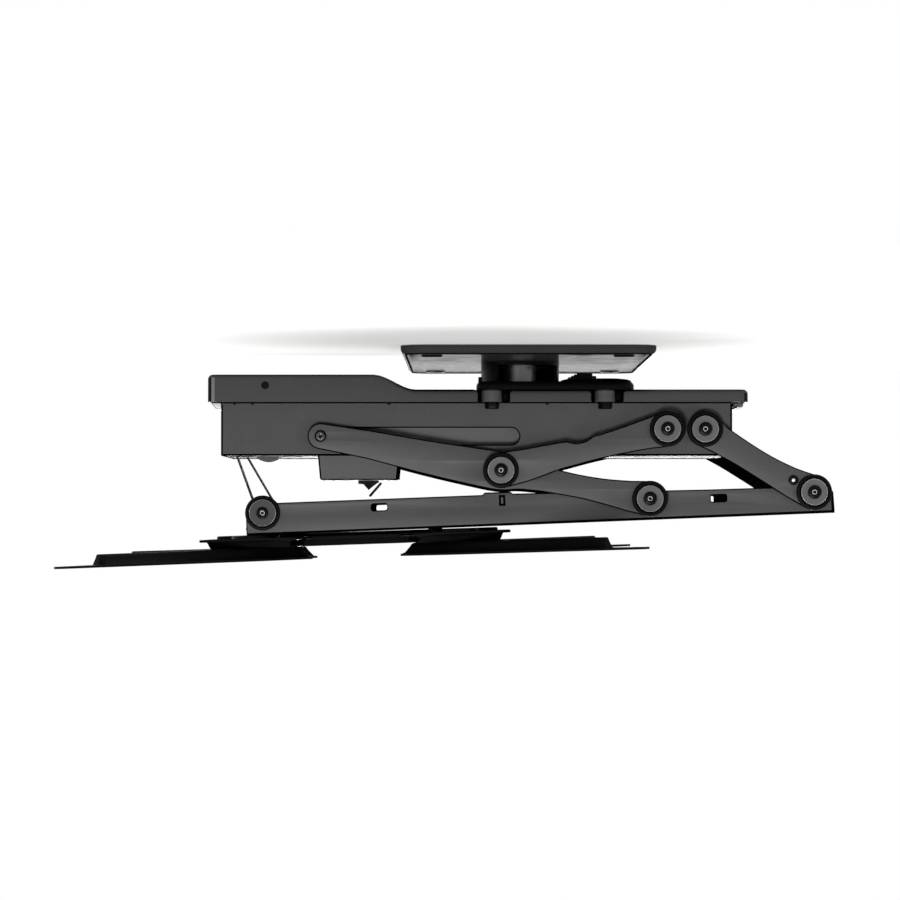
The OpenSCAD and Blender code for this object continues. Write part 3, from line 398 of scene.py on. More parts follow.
def slab(outline, holes, y0, y1, edge):
    """A plate standing in the XZ plane from y0 to y1, with rounded edges."""
    curve = bpy.data.curves.new("slab", "CURVE")
    curve.dimensions = "2D"
    curve.fill_mode = "BOTH"
    curve.extrude = abs(y1 - y0) / 2 - edge
    curve.bevel_depth = edge
    curve.bevel_resolution = 2
    curve.offset = -edge
    for loop in [outline] + list(holes):
        spline = curve.splines.new("POLY")
        spline.points.add(len(loop) - 1)
        for point, (x, z) in zip(spline.points, loop):
            point.co = (x, z, 0, 1)
        spline.use_cyclic_u = True
    obj = bpy.data.objects.new("slab", curve)
    mesh = bpy.data.meshes.new_from_object(obj)
    bm = bmesh.new()
    bm.from_mesh(mesh)
    bpy.data.objects.remove(obj)
    bpy.data.curves.remove(curve)
    bpy.data.meshes.remove(mesh)
    stand = Matrix.Translation((0, (y0 + y1) / 2, 0)) @ Matrix.Rotation(math.pi / 2, 4, "X")
    bmesh.ops.transform(bm, matrix=stand, verts=bm.verts)
    return bm


def band(bm, low, high):
    """Joins two loops of vertices with a band of faces."""
    for i in range(len(low)):
        j = (i + 1) % len(low)
        bm.faces.new((low[i], low[j], high[j], high[i]))


def loft(rings, lids=None):
    """Joins closed loops of as many points each into one closed skin. The first and last loops get a lid.
    With lids as a number, the last loop joins the first, and the loop of that number and the next get the
    lids, as on a pressing. With lids -1 there are none, as on a ring."""
    bm = bmesh.new()
    wide_lid = 600
    rows = [[bm.verts.new(p) for p in ring] for ring in rings]
    last = len(rows) - 1
    for k, low in enumerate(rows):
        high = rows[(k + 1) % len(rows)]
        if k == (last if lids is None else lids):
            lid_pair = (bm.faces.new(low), bm.faces.new(high))
            wide = [face for face in lid_pair if face.calc_area() > wide_lid]
            # A narrow band round a wide lid keeps the lid's shading flat
            bmesh.ops.inset_individual(bm, faces=wide, thickness=0.5, use_even_offset=True)
            continue
        band(bm, low, high)
    return bm


def level(loop, z):
    return [(x, y, z) for x, y in loop]


def round_over(r, z, steps=5):
    """Insets and levels of a quarter round of radius r that ends at level z."""
    turn = [math.pi / 2 * k / steps for k in range(steps + 1)]
    return [(r * (1 - math.cos(a)), z - r * (1 - math.sin(a))) for a in turn]


def radius_at(r, a, form="round"):
    """How far a round, hexagonal or cross-shaped section reaches at angle a."""
    if form == "hex":
        sixth = math.pi / 3
        return r * math.cos(sixth / 2) / math.cos((a + sixth / 2) % sixth - sixth / 2)
    if form == "cross":
        arm_share = 0.28
        return min(r, r * arm_share / max(1e-6, min(abs(math.sin(a)), abs(math.cos(a)))))
    return r


def turned(rows, steps=48, lids=None):
    """A closed shape turned about Z. Each row is a radius and a level, and a form where it isn't round."""
    turn = [2 * math.pi * i / steps for i in range(steps)]
    rings = []
    for r, z, *form in rows:
        out = [(radius_at(r, a, *form), a) for a in turn]
        rings.append([(d * math.cos(a), d * math.sin(a), z) for d, a in out])
    return loft(rings, lids)


def add_shape(bm, other):
    """Puts a second closed shape into the first one's mesh."""
    mesh = bpy.data.meshes.new("other")
    other.to_mesh(mesh)
    other.free()
    bm.from_mesh(mesh)
    bpy.data.meshes.remove(mesh)


def cut(obj, *tools):
    """Takes the tools' shapes out of a piece, before it is finished."""
    for tool in tools:
        mesh = bpy.data.meshes.new("tool")
        bmesh.ops.recalc_face_normals(tool, faces=tool.faces)
        bmesh.ops.scale(tool, vec=(MM, MM, MM), verts=tool.verts)
        tool.to_mesh(mesh)
        tool.free()
        other = placed("tool", mesh)
        mod = obj.modifiers.new("cut", "BOOLEAN")
        mod.operation = "DIFFERENCE"
        mod.solver = "EXACT"
        mod.object = other
        bpy.context.view_layer.update()
        graph = bpy.context.evaluated_depsgraph_get()
        made = bpy.data.meshes.new_from_object(obj.evaluated_get(graph))
        obj.modifiers.clear()
        old, obj.data = obj.data, made
        name = old.name
        bpy.data.meshes.remove(old)
        made.name = name
        drop(other)
    obj.data.shade_smooth()
    obj.data.set_sharp_from_angle(angle=math.radians(CRISP))


# Geometry Nodes: fittings that repeat, and straps that follow a path

def node_group(name, result, **sockets):
    """A geometry tree with its sockets, and its input node."""
    tree = bpy.data.node_groups.new(name, "GeometryNodeTree")
    for label, kind in sockets.items():
        tree.interface.new_socket(label.replace("_", " "), in_out="INPUT", socket_type="NodeSocket" + kind)
    tree.interface.new_socket(result, in_out="OUTPUT", socket_type="NodeSocketGeometry")
    return tree, add(tree, "NodeGroupInput")


def hand_out(tree, into, shape):
    """Makes the shape real, gives it its finish and hands it out."""
    real = add(tree, "GeometryNodeRealizeInstances", {}, {"Geometry": shape})
    done = add(tree, "GeometryNodeSetMaterial", {}, {"Geometry": real.outputs[0],
                                                     "Material": into.outputs["Finish"]})
    add(tree, "NodeGroupOutput", {}, {0: done.outputs[0]})
    return tree


def fittings_tree():
    tree, into = node_group("Repeated fittings", "Fittings", Places="Geometry", Fitting="Object",
                            Size="Float", Twist_seed="Int", Finish="Material")
    aim = add(tree, "GeometryNodeInputNamedAttribute", {"data_type": "FLOAT_VECTOR"}, {"Name": "aim"})
    turn = add(tree, "FunctionNodeAlignRotationToVector", {"axis": "Z"}, {"Vector": aim.outputs[0]})
    spin = add(tree, "FunctionNodeRandomValue", {"data_type": "FLOAT"},
               {"Min": 0.0, "Max": math.tau, "Seed": into.outputs["Twist seed"]})
    axis = add(tree, "ShaderNodeCombineXYZ", {}, {"Z": spin.outputs["Value"]})
    local = add(tree, "FunctionNodeEulerToRotation", {}, {0: axis.outputs[0]})
    both = add(tree, "FunctionNodeRotateRotation", {"rotation_space": "LOCAL"},
               {0: turn.outputs[0], 1: local.outputs[0]})
    part = add(tree, "GeometryNodeObjectInfo", {}, {"Object": into.outputs["Fitting"]})
    laid = add(tree, "GeometryNodeInstanceOnPoints", {}, {
        "Points": into.outputs["Places"], "Instance": part.outputs["Geometry"],
        "Rotation": both.outputs[0], "Scale": into.outputs["Size"]})
    return hand_out(tree, into, laid.outputs[0])


def strap_tree():
    tree, into = node_group("Strap along a path", "Strap", Path="Geometry", Width="Float", Thickness="Float",
                            Finish="Material")
    path = add(tree, "GeometryNodeMeshToCurve", {}, {"Mesh": into.outputs["Path"]})
    section = add(tree, "GeometryNodeCurvePrimitiveQuadrilateral", {}, {
        "Width": into.outputs["Width"], "Height": into.outputs["Thickness"]})
    swept = add(tree, "GeometryNodeCurveToMesh", {}, {
        "Curve": path.outputs[0], "Profile Curve": section.outputs[0], "Fill Caps": True})
    return hand_out(tree, into, swept.outputs[0])


def run_tree(obj, tree, values):
    """Gives the object the tree with these inputs and returns the result as a plain mesh."""
    mod = obj.modifiers.new("nodes", "NODES")
    mod.node_group = tree
    for item in tree.interface.items_tree:
        if item.in_out == "INPUT" and item.name in values:
            mod[item.identifier] = values[item.name]
    bpy.context.view_layer.update()
    graph = bpy.context.evaluated_depsgraph_get()
    mesh = bpy.data.meshes.new_from_object(obj.evaluated_get(graph))
    obj.modifiers.clear()
    return mesh


def tree_named(name, build):
    return bpy.data.node_groups.get(name) or build()


def fit(name, part, places, material, body, stands_for=(), slot=None):
    """Sets one turned part at every place. Each place is a point and the way that the part's top looks."""
    for vert in part.verts:
        vert.co *= MM
    bmesh.ops.recalc_face_normals(part, faces=part.faces)
    shape = bpy.data.meshes.new(name + "_one")
    part.to_mesh(shape)
    part.free()
    one = placed(name + "_one", shape)
    spots = bpy.data.meshes.new(name + "_places")
    spots.from_pydata([Vector(at) * MM for at, way in places], [], [])
    ways = spots.attributes.new("aim", "FLOAT_VECTOR", "POINT")
    for i, (at, way) in enumerate(places):
        ways.data[i].vector = way
    holder = placed(name + "_places", spots)
    mesh = run_tree(holder, tree_named("Repeated fittings", fittings_tree), {
        "Fitting": one, "Size": 1.0, "Twist seed": bpy.context.scene.mount_sizes.twist,
        "Finish": FINISHES[material]})
    mesh.name = name
    drop(holder, one)
    return settle(name, mesh, material, body, stands_for, TURNED, slot)


def across(spots, sides=(-1, 1)):
    """Places for fittings on the near and far side: each spot's point, looking outwards along Y."""
    return [((x, side * y, z), (0, side, 0)) for x, y, z in spots for side in sides]


# Outlines of the arms: share of the reach and distance from the centreline as a share of the hub's radius
LONG_TOP = [(0.149, 0.83), (0.31, 0.88), (0.438, 0.97), (0.548, 1.04), (0.608, 0.90), (0.65, 0.78),
            (0.691, 0.68), (0.739, 0.61), (0.802, 0.583), (0.87, 0.64), (0.936, 0.78)]
LONG_LOW = [(0.149, 0.76), (0.31, 0.98), (0.438, 1.09), (0.548, 1.12), (0.608, 0.88), (0.65, 0.79),
            (0.691, 0.735), (0.739, 0.722), (0.802, 0.72), (0.87, 0.80), (0.936, 0.92)]
LIFT_TOP = [(0.132, 0.87), (0.276, 0.78), (0.398, 0.70), (0.432, 0.58), (0.464, 0.45), (0.50, 0.42),
            (0.531, 0.456), (0.571, 0.60), (0.623, 0.617), (0.772, 0.728), (0.923, 0.887)]
LIFT_LOW = [(0.12, 0.98), (0.186, 0.93), (0.338, 0.77), (0.441, 0.74), (0.588, 0.72), (0.734, 0.76),
            (0.877, 0.85)]
LINK_TOP = [(0.12, 0.76), (0.20, 0.672), (0.389, 0.578), (0.572, 0.55), (0.745, 0.63), (0.84, 0.73),
            (0.94, 0.88)]
LINK_LOW = [(0.16, 0.90), (0.187, 0.90), (0.347, 0.878), (0.565, 0.922), (0.817, 1.0)]


def smoothed(shares, steps=4):
    """A smooth run of points through the given ones."""
    run = []
    for i in range(len(shares) - 1):
        p = [Vector(shares[max(0, min(len(shares) - 1, i + k))]) for k in (-1, 0, 1, 2)]
        for s in range(steps):
            t = s / steps
            run.append(0.5 * (2 * p[1] + (p[2] - p[0]) * t + (2 * p[0] - 5 * p[1] + 4 * p[2] - p[3]) * t * t
                              + (3 * p[1] - p[0] - 3 * p[2] + p[3]) * t ** 3))
    return run + [Vector(shares[-1])]


def arm_loop(a, b, tops, lows, ra, rb):
    a, b = Vector(a), Vector(b)
    reach = (b - a).length
    turn = math.atan2(b.y - a.y, b.x - a.x)
    flat = arc(0, 0, ra, 90, 270, 16) + [(s.x * reach, -s.y * HUB) for s in smoothed(lows)]
    flat += arc(reach, 0, rb, -90, 90, 16) + [(s.x * reach, s.y * HUB) for s in reversed(smoothed(tops))]
    return [(a.x + x * math.cos(turn) - y * math.sin(turn), a.y + x * math.sin(turn) + y * math.cos(turn))
            for x, y in flat]


def both_sides(name, loop, holes, y0):
    """The near and the far arm of a pair. All but an arm's outer face get painted shade in flat black."""
    edge = bpy.context.scene.mount_sizes.edge / MM
    for side, end in ((-1, "near"), (1, "far")):
        bm = slab(loop, holes, side * y0, side * (y0 + ARM_T), edge)
        obj = new_piece(f"{name}_plate_{end}", bm, "powder_coat", name + "s", [f"{name}_{end}"])
        refinish(obj, "thin_coat", lambda face: face.normal.y * side < SQUARE)


# The photograph's camera, and the place, aim, size and power of each soft box
EYE, LOOK, SENSOR = (-0.0515, -3.325, -0.171), (-20 / 3232, 1, 72 / 3232), 36
SOFT_BOXES = (((-0.3, -2.3, -0.95), (-0.05, 0, -0.08), 0.6, 49),
              ((-2.0, -1.2, -0.5), (-0.05, 0, -0.08), 0.6, 9),
              ((1.9, -1.2, -1.0), (0.1, 0, -0.12), 0.7, 19),
              ((0.0, 2.2, -0.95), (-0.05, -0.3, 0), 0.9, 110),
              ((0.3, 0.9, 2.2), (-0.05, 0, 0), 1.2, 45))
# Each plane's name, level, way up, half length, ends along Y and glow
PLANES = (("ceiling", 0.0006, -1, 0.62, -1.3, 0.3, 0.95), ("floor", -1.9, 1, 5, -5, 5, 0.64))


class Step:
    """What every operator here does: it builds, and says that it is finished."""

    def execute(self, context):
        self.build(context.scene)
        return {"FINISHED"}


class MOUNT_OT_stage(Step, bpy.types.Operator):
    """Camera, ceiling, floor and soft light"""
    bl_idname = "mount.stage"
    bl_label = "Stage"

    def build(self, scene):
        s = scene.mount_stage
        scene.view_settings.view_transform = "Standard"
        eye = placed("camera", bpy.data.cameras.new("camera"))
        eye.location = EYE
        look = Vector(LOOK).normalized()
        eye.rotation_mode = "QUATERNION"
        eye.rotation_quaternion = look.to_track_quat("-Z", "Y")
        eye.data.lens = s.lens
        eye.data.sensor_width = SENSOR
        eye.data.clip_start = 0.05
        eye.data.clip_end = 60
        scene.camera = eye
        self.world(scene, s)
        self.planes()
        for place, aim, size, power in SOFT_BOXES:
            lamp = bpy.data.lights.new("soft_box", "AREA")
            lamp.size = size
            lamp.energy = power * s.lamp
            holder = placed("soft_box", lamp)
            holder.location = place
            holder.rotation_mode = "QUATERNION"
            holder.rotation_quaternion = (Vector(aim) - Vector(place)).to_track_quat("-Z", "Y")

    def world(self, scene, s):
        """White where it is looked at, and dim as a light."""
        world = bpy.data.worlds.new("studio")
        scene.world = world
        tree = cleared(world)
        level_now = add(tree, "ShaderNodeMix", {"data_type": "FLOAT"}, {0: self.seen(tree), 2: s.sky, 3: 1.0})
        back = add(tree, "ShaderNodeBackground", {}, {"Color": (1, 1, 1, 1),
                                                      "Strength": level_now.outputs[0]})
        add(tree, "ShaderNodeOutputWorld", {}, {"Surface": back.outputs[0]})

    def seen(self, tree):
        """1 for what the eye, a mirror or glass looks at."""
        path = add(tree, "ShaderNodeLightPath")
        first = maths(tree, "ADD", path.outputs["Is Camera Ray"], path.outputs["Is Glossy Ray"])
        return maths(tree, "ADD", first, path.outputs["Is Transmission Ray"], use_clamp=True)

    def paint(self, name, glow):
        """Matt white emulsion: the object's soft shadow shows on it, deepened by painted shade close round
        the mount, and it is seen only from inside.
        """
        mat = bpy.data.materials.new(name)
        tree = cleared(mat)
        place = add(tree, "ShaderNodeTexCoord").outputs["Object"]
        nap = add(tree, "ShaderNodeTexNoise", {}, {"Vector": place, "Scale": 160.0})
        bump = add(tree, "ShaderNodeBump", {}, {"Strength": 0.1, "Distance": 0.0003,
                                                "Height": nap.outputs["Fac"]})
        matt = add(tree, "ShaderNodeBsdfDiffuse", {}, {"Color": (*srgb("#b4b4b3"), 1),
                                                       "Normal": bump.outputs[0]})
        # Close round the mount the paint glows less: a painted shadow there, added to the real shade under
        # the ceiling
        near = add(tree, "ShaderNodeMapping", {}, {"Vector": place, "Location": (0.1, 1.15, 0.0),
                                                   "Scale": (3.35, 3.8, 4.0)})
        away = add(tree, "ShaderNodeVectorMath", {"operation": "LENGTH"}, {0: near.outputs[0]})
        away = away.outputs["Value"]
        glow_now = remap(tree, away, 0.3, 1.5, 0.22, glow, interpolation_type="SMOOTHSTEP")
        # Far out on the floor it glows more, so that its end melts into the white
        far = remap(tree, away, 9.0, 16.0, 0.0, 0.45, interpolation_type="SMOOTHSTEP")
        part = maths(tree, "MULTIPLY", self.seen(tree), maths(tree, "ADD", glow_now, far))
        shine = add(tree, "ShaderNodeEmission", {}, {"Color": (1, 1, 1, 1), "Strength": part})
        lit = add(tree, "ShaderNodeAddShader", {}, {0: matt.outputs[0], 1: shine.outputs[0]})
        # It lets lamp light through, so that the mount's upper side isn't black in views from above
        side = add(tree, "ShaderNodeNewGeometry")
        path = add(tree, "ShaderNodeLightPath")
        passes = maths(tree, "MAXIMUM", side.outputs["Backfacing"], path.outputs["Is Shadow Ray"])
        clear = add(tree, "ShaderNodeBsdfTransparent")
        shown = add(tree, "ShaderNodeMixShader", {}, {0: passes, 1: lit.outputs[0], 2: clear.outputs[0]})
        add(tree, "ShaderNodeOutputMaterial", {}, {"Surface": shown.outputs[0]})
        return mat

    def planes(self):
        """The ceiling over the mount and the floor far below it."""
        for name, z, up, x, y0, y1, glow in PLANES:
            mesh = bpy.data.meshes.new(name)
            corners = [(-x, y0, z), (x, y0, z), (x, y1, z), (-x, y1, z)]
            mesh.from_pydata(corners, [], [(0, 1, 2, 3) if up > 0 else (3, 2, 1, 0)])
            mesh.materials.append(self.paint(name + "_emulsion", glow))
            obj = placed(name, mesh)


class MOUNT_OT_finishes(Step, bpy.types.Operator):
    """Makes the finishes and gives each carried part of the frame its own"""
    bl_idname = "mount.finishes"
    bl_label = "Finishes"

    def build(self, scene):
        make_finishes()
        worn = {
            "pale_powder": ["guide_channels"],
            "matt_powder": ["chassis_box"],
            "powder_coat": ["gearbox"],
            "pale_abs": ["winding_spool"],
            "black_enamel": ["cross_plates"],
            "satin_enamel": ["swivel_post", "swivel_bush"],
            "turned_nylon": ["guide_rollers"],
            "board_lacquer": ["circuit_board"],
            "plated_can": ["gear_motor"],
            "satin_steel": ["swivel_spindle"],
            "black_screw": ["cover_screws", "level_bolts"],
            "oxide_steel": ["swivel_lock_screw", "chassis_pins", "belt_anchor", "middle_rod",
                            "guide_carriage", "frame_rod", "end_rod", "roller_shaft", "spool_shaft"],
            "ring_rubber": ["belt_roller"],
        }
        for name, nodes in worn.items():
            for node in nodes:
                if not NODES[node].data.materials:
                    NODES[node].data.materials.append(None)
                for slot in NODES[node].material_slots:
                    slot.material = FINISHES[name]


class MOUNT_OT_ceiling_plate(Step, bpy.types.Operator):
    """Pressed ceiling plate with a rolled rim and four slots"""
    bl_idname = "mount.ceiling_plate"
    bl_label = "Ceiling plate"

    def build(self, scene):
        p = PLATE
        plate = (p["x"], p["y"], p["corner"], (p["mid"], 0))
        r = scene.mount_sizes.press / MM + 1
        outer = round_over(r, p["rim"])
        inner = round_over(r - p["sheet"], p["rim"] - p["sheet"])
        rows = [(0, 0)] + [(i, -z) for i, z in outer]
        rows += [(i + p["sheet"], -z) for i, z in reversed(inner)] + [(p["sheet"], 0)]
        obj = new_piece("pressed_ceiling_plate", loft(boxes(*plate, rows), len(outer)), "gloss_coat",
                        "ceiling", ["ceiling_plate"])
        # A black bead under the plate's rim paints a dark outline of shade
        bead = [(4.2, -7.6), (4.2, -8.9), (5.6, -8.9), (5.6, -7.6)]
        new_piece("plate_bead", loft(boxes(*plate, bead), -1), "thin_coat", "ceiling")
        # Black rings round the slots and black pads above them paint the shade in the slots
        seat = [(0.2, -7.7), (0.2, -9.4), (1.8, -9.4), (2.2, -9.0), (2.2, -7.7)]
        long, wide = p["slot"]
        tools = []
        for i, j in CORNERS:
            x, y = p["mid"] + i * p["slot_x"] / 2, j * p["slot_y"] / 2
            hole = pill(x, y, long, wide)
            tools.append(loft([level(hole, -20), level(hole, 0)]))
            ring = [level(pill(x, y, long + 2 * out, wide + 2 * out), z) for out, z in seat]
            new_piece(f"slot_grommet_{i + 1}_{j + 1}", loft(ring, -1), "ring_rubber", "ceiling")
            pad = rounded_box(30, 22, 4, (x, y))
            pad = loft([level(pad, -4.9), level(pad, -0.4)])
            new_piece(f"slot_pad_{i + 1}_{j + 1}", pad, "ring_rubber", "ceiling")
        cut(obj, *tools)


class MOUNT_OT_turntable(Step, bpy.types.Operator):
    """Turntable dish with its domed end"""
    bl_idname = "mount.turntable"
    bl_label = "Turntable dish"

    def build(self, scene):
        d = DISH
        edge, sunk = 4.5, 0.5
        rows = [(0, d["low"]), (0, d["flat"] - edge)] + round_over(edge, d["flat"])[1:]
        bm = loft(boxes(d["x"], d["y"], d["corner"], (d["mid"], 0), rows))
        # The dome swells steeply at its edge and flattens towards its middle
        dome = []
        long, wide, mid = 72, 184, (75, 0)
        foot = d["flat"] - sunk
        swell = ((1, 0), (0.985, 0.3), (0.95, 0.5), (0.85, 0.72), (0.7, 0.88), (0.45, 0.97), (0.2, 1))
        for share, rise in swell:
            loop = rounded_box(long * share, wide * (0.6 + 0.4 * share), 4 + 12 * share, mid)
            dome.append(level(loop, foot + (d["pad"] - foot) * rise))
        add_shape(bm, loft(dome))
        new_piece("domed_turntable", bm, "black_enamel", "chassis", ["turntable_dish"], MOULDED)
        low, high, sill = -28, -18.2, -24.2
        left, right, pitch = 48.3, 61, 3.1
        body = [(45, low), (left, sill), (right, high), (73.9, high), (73.9, -21.3), (77.7, -21.5),
                (78.5, low)]
        bm = slab(body, [], -16, 16, 0.5)
        for k in range(4):
            x = left + 0.9 + pitch * k
            slope = sill + (high - sill) * (x - left) / (right - left)
            rib = [(x, low), (x, slope + 0.9), (x + 1.2, slope + 1.5), (x + 1.2, low)]
            add_shape(bm, slab(rib, [], -17, 17, 0.3))
        new_piece("ribbed_inlet", bm, "moulded_abs", "chassis", ["inlet_housing"],
                  slot="black_powder_coat")


class MOUNT_OT_cover(Step, bpy.types.Operator):
    """Moulded top cover with its raised end and rounded corners"""
    bl_idname = "mount.cover"
    bl_label = "Top cover"

    def build(self, scene):
        c = COVER
        r = 4.5
        loops = []
        for inset, drop in [(0, None)] + [(i, r - z) for i, z in round_over(r, r)]:
            loops.append([(x, y, c["low"] if drop is None else self.top(x) - drop)
                          for x, y in self.outline(inset)])
        bm = bmesh.new()
        rows = [[bm.verts.new(v) for v in loop] for loop in loops]
        for low, high in zip(rows, rows[1:]):
            band(bm, low, high)
        last = rows[-1]
        for i in range(len(last) // 2 - 1):
            bm.faces.new((last[i], last[i + 1], last[-2 - i], last[-1 - i]))
        bmesh.ops.recalc_face_normals(bm, faces=bm.faces)
        bmesh.ops.solidify(bm, geom=bm.faces[:], thickness=c["wall"])
        obj = new_piece("moulded_cover", bm, "moulded_abs", "chassis", ["top_cover"], PRESSED)
        # The faces in shade get the black rubber finish: painted shade in the recesses, along the upper edges
        # and at the corners
        refinish(obj, "ring_rubber", self.shaded)
        # A painted highlight on the left end's rounded corners
        refinish(obj, "rubbed_abs", self.painted_highlight)
        rim = [(2.6, -1), (3.8, -1), (3.8, 0.6), (3.5, 0.9), (2.6, 0.9)]
        screw_x, screw_drop = -256.2, 11
        places = across([(screw_x, c["half"], c["hump"] - screw_drop)])
        fit("cover_screw_rims", turned(rim, 32, -1), places, "ring_rubber", "chassis")
        self.seam()
        self.guide_shade_rims()

    def shaded(self, face):
        """The recesses round the bosses, the rounded upper edges and the corners are in deep shade."""
        n, x, y = face.normal, face.center.x / MM, abs(face.center.y) / MM
        by_boss = min(abs(x - at) for at in RECESS_X) < 19 and y < COVER["half"] - 0.7
        return (by_boss and abs(n.z) < 0.7
                or abs(n.y) > 0.12 and 0.6 < n.z < SQUARE
                or abs(n.z) < 0.3 and 0.62 < abs(n.x) < SQUARE)

    def painted_highlight(self, face):
        """The left end's upright corners, where a highlight is painted."""
        n = face.normal
        return abs(n.z) < 0.3 and 0.2 < abs(n.x) < 0.62 and face.center.x / MM < -300

    def seam(self):
        """What lies round the chassis' upper and lower edges: a black strip of painted shade in the seam, a
        bead and a bend in paler coat as painted highlights, folds in flat black as painted shade, the end lip
        and clips.
        """
        b = BOX
        size = (b["right"] - b["left"], 2 * b["half"])
        mid = ((b["left"] + b["right"]) / 2, 0)

        def ring(r, z, section):
            """A band round the chassis, whose section is how far out and how high above z it goes."""
            return loft(boxes(*size, r, mid, [(-out, z + up) for out, up in section]), -1)

        # The black strip paints the shade in the seam, the pale bead and bend paint highlights, the black
        # folds paint shade on the lower edges and corners
        seam_shade_section = [(0.9, -0.1), (0.9, -1.1), (-0.5, -1.1), (-0.5, -0.1)]
        bead = [(0.1, -1.1), (0.5, -1.2), (0.6, -1.5), (0.5, -1.9), (0, -2.0), (-0.5, -1.9), (-0.5, -1.2)]
        fold = [(0.3, 1.2), (0.3, -0.5), (0, -0.8), (-1.2, -0.8), (-1.2, 0.5), (-0.3, 1.2)]
        bend = [(0.25, 1.3), (0.25, 2.1), (-0.3, 2.1), (-0.3, 1.3)]
        folds = ring(1.8, b["low"], fold)
        post_in, post_r = 0.8, 1.15
        for x in (b["left"] + post_in, b["right"] - post_in):
            for side in (-1, 1):
                post = circle(x, side * (b["half"] - post_in), post_r, 16)
                add_shape(folds, loft([level(post, b["low"] + 0.3), level(post, b["top"] - 0.2)]))
        hem = [(-287, b["low"] - 0.8), (-212, b["low"] - 0.8), (-212, b["low"] + 0.4), (-287, b["low"] + 0.4)]
        add_shape(folds, slab(hem, [], b["half"] - 1.6, b["half"] - 0.4, 0.2))
        for name, bm, material in (("seam_gasket", ring(1.6, b["top"], seam_shade_section), "ring_rubber"),
                                   ("chassis_bead", ring(1.6, b["top"], bead), "pale_powder"),
                                   ("chassis_folds", folds, "thin_coat"),
                                   ("chassis_bend", ring(1.8, b["low"], bend), "pale_powder")):
            new_piece(name, bm, material, "chassis", slot="black_powder_coat")
        lip = [(-312.6, -51.1), (-306.6, -57.5), (-301.1, -57.5), (-301.1, -51.1)]
        obj = new_piece("tapered_end_lip", slab(lip, [], -75, 75, 0.5), "pale_trim", "chassis", ["end_lip"])
        # The lip's rounded edges get painted shade
        refinish(obj, "thin_coat", on_cut_edge)
        ledge = [(214, -51.2), (214, -54.6), (216, -54.6), (216.4, -52.8), (218.6, -52.8), (219, -54.8),
                 (223.8, -54.8), (224.6, -51.2)]
        new_piece("snap_ledge", slab(ledge, [], -62, 62, 0.3), "pale_abs", "chassis", slot="pale_plastic")
        clip = [(1.7, 0), (1.7, 0.9), (1.3, 1.4), (0.6, 1.6)]
        spots = [(x, b["half"], b["top"] - 0.9) for x in (-287.5, -269.5, -132.5, 26)]
        fit("seam_clips", turned(clip, 24), across(spots), "ring_rubber", "chassis")

    def guide_shade_rims(self):
        """A black rim round each guide slot in the chassis' sides: painted shade along the slot's edges."""
        section = [(0, 1.4), (0, 0), (0.35, -0.45), (0.9, -0.45), (1.2, 0), (1.2, 1.4)]
        for side in (-1, 1):
            loops = [[(x, side * (BOX["half"] - deep), z) for x, z in
                      pill(GUIDE["mid"], P1[1], GUIDE["long"] + 2 * out, GUIDE["high"] + 2 * out)]
                     for out, deep in section]
            new_piece(f"guide_trim_{side + 1}", loft(loops, -1), "thin_coat", "chassis")

    def top(self, x):
        c = COVER
        t = min(1, max(0, (x - c["hump_end"]) / (c["hump_foot"] - c["hump_end"])))
        return c["hump"] + (c["top"] - c["hump"]) * t * t * (3 - 2 * t)

    def outline(self, inset):
        """Half of the outline along the near side, then the far side back, point for point."""
        c = COVER
        r = c["corner"] - inset
        left, right, half = c["left"] + inset, c["right"] - inset, c["half"] - inset
        near = arc(left + r, -half + r, r, 180, 270, 8)
        near += [(x, -half) for x in (-200, -160, *range(-148, -105, 6), -80)]
        for x in RECESS_X:
            near += self.recess(x, half, inset)
        near += [(150, -half)] + arc(right - r, -half + r, r, 270, 360, 8)
        return near + [(x, -y) for x, y in reversed(near)]

    def recess(self, x, half, inset):
        """The wall's way round a hanger boss: in, along the back and out again, with soft corners."""
        w, back, q = 15.5 + inset, 77.2 - inset, 2.5
        side = arc(x - w - q, -half + q, q, -90, -4, 4)
        side += arc(x - w + q + 0.6, -back - q, q, 176, 90, 4)
        return side + [(2 * x - px, py) for px, py in reversed(side)]


class MOUNT_OT_control_box(Step, bpy.types.Operator):
    """Control box with rounded edges, its limit switch and the switch's lever"""
    bl_idname = "mount.control_box"
    bl_label = "Control box"

    def build(self, scene):
        top, low, half, lean, r = BOX["low"], -128.4, 55, 2.3, 1.7
        ends = (-205.6, -122.8)
        loops = []
        for i, z in [(0, top)] + [(i, low + r - d) for i, d in round_over(r, r)]:
            drawn_in = (top - z) / (top - low) * lean + i
            left, right = ends[0] + drawn_in, ends[1] - drawn_in
            loop = rounded_box(right - left, 2 * (half - i), max(r - i, 0.2), ((left + right) / 2, 0), 4)
            loops.append(level(loop, z))
        obj = new_piece("moulded_control_box", loft(loops), "pale_abs", "chassis", ["control_box"], MOULDED)
        # The rounded edges and the ends get painted shade
        refinish(obj, "thin_coat", lambda face: on_cut_edge(face) or abs(face.normal.x) > 0.9)
        body = [(-166.3, low + 0.3), (-166.3, -131.9), (-160.9, -132.2), (-155.8, -138.1), (-149.6, -133.0),
                (-145.4, -130.4), (-145.4, low + 0.3)]
        new_piece("limit_switch_body", slab(body, [], -4, 4, 0.4), "pale_abs", "chassis", ["limit_switch"],
                  slot="black_powder_coat")
        start, end = Vector((-142.6, -130.6)), Vector((-154.9, -144.8))
        way = end - start
        turn = Matrix.Rotation(math.atan2(way.y, way.x), 2)
        strip = [turn @ Vector(q) + (start + end) / 2 for q in pill(0, 0, way.length, 2.5)]
        new_piece("switch_lever_strip", slab([(q.x, q.y) for q in strip], [], -3, 3, 0.3), "washer_zinc",
                  "lever", ["switch_lever"], slot="dark_steel")


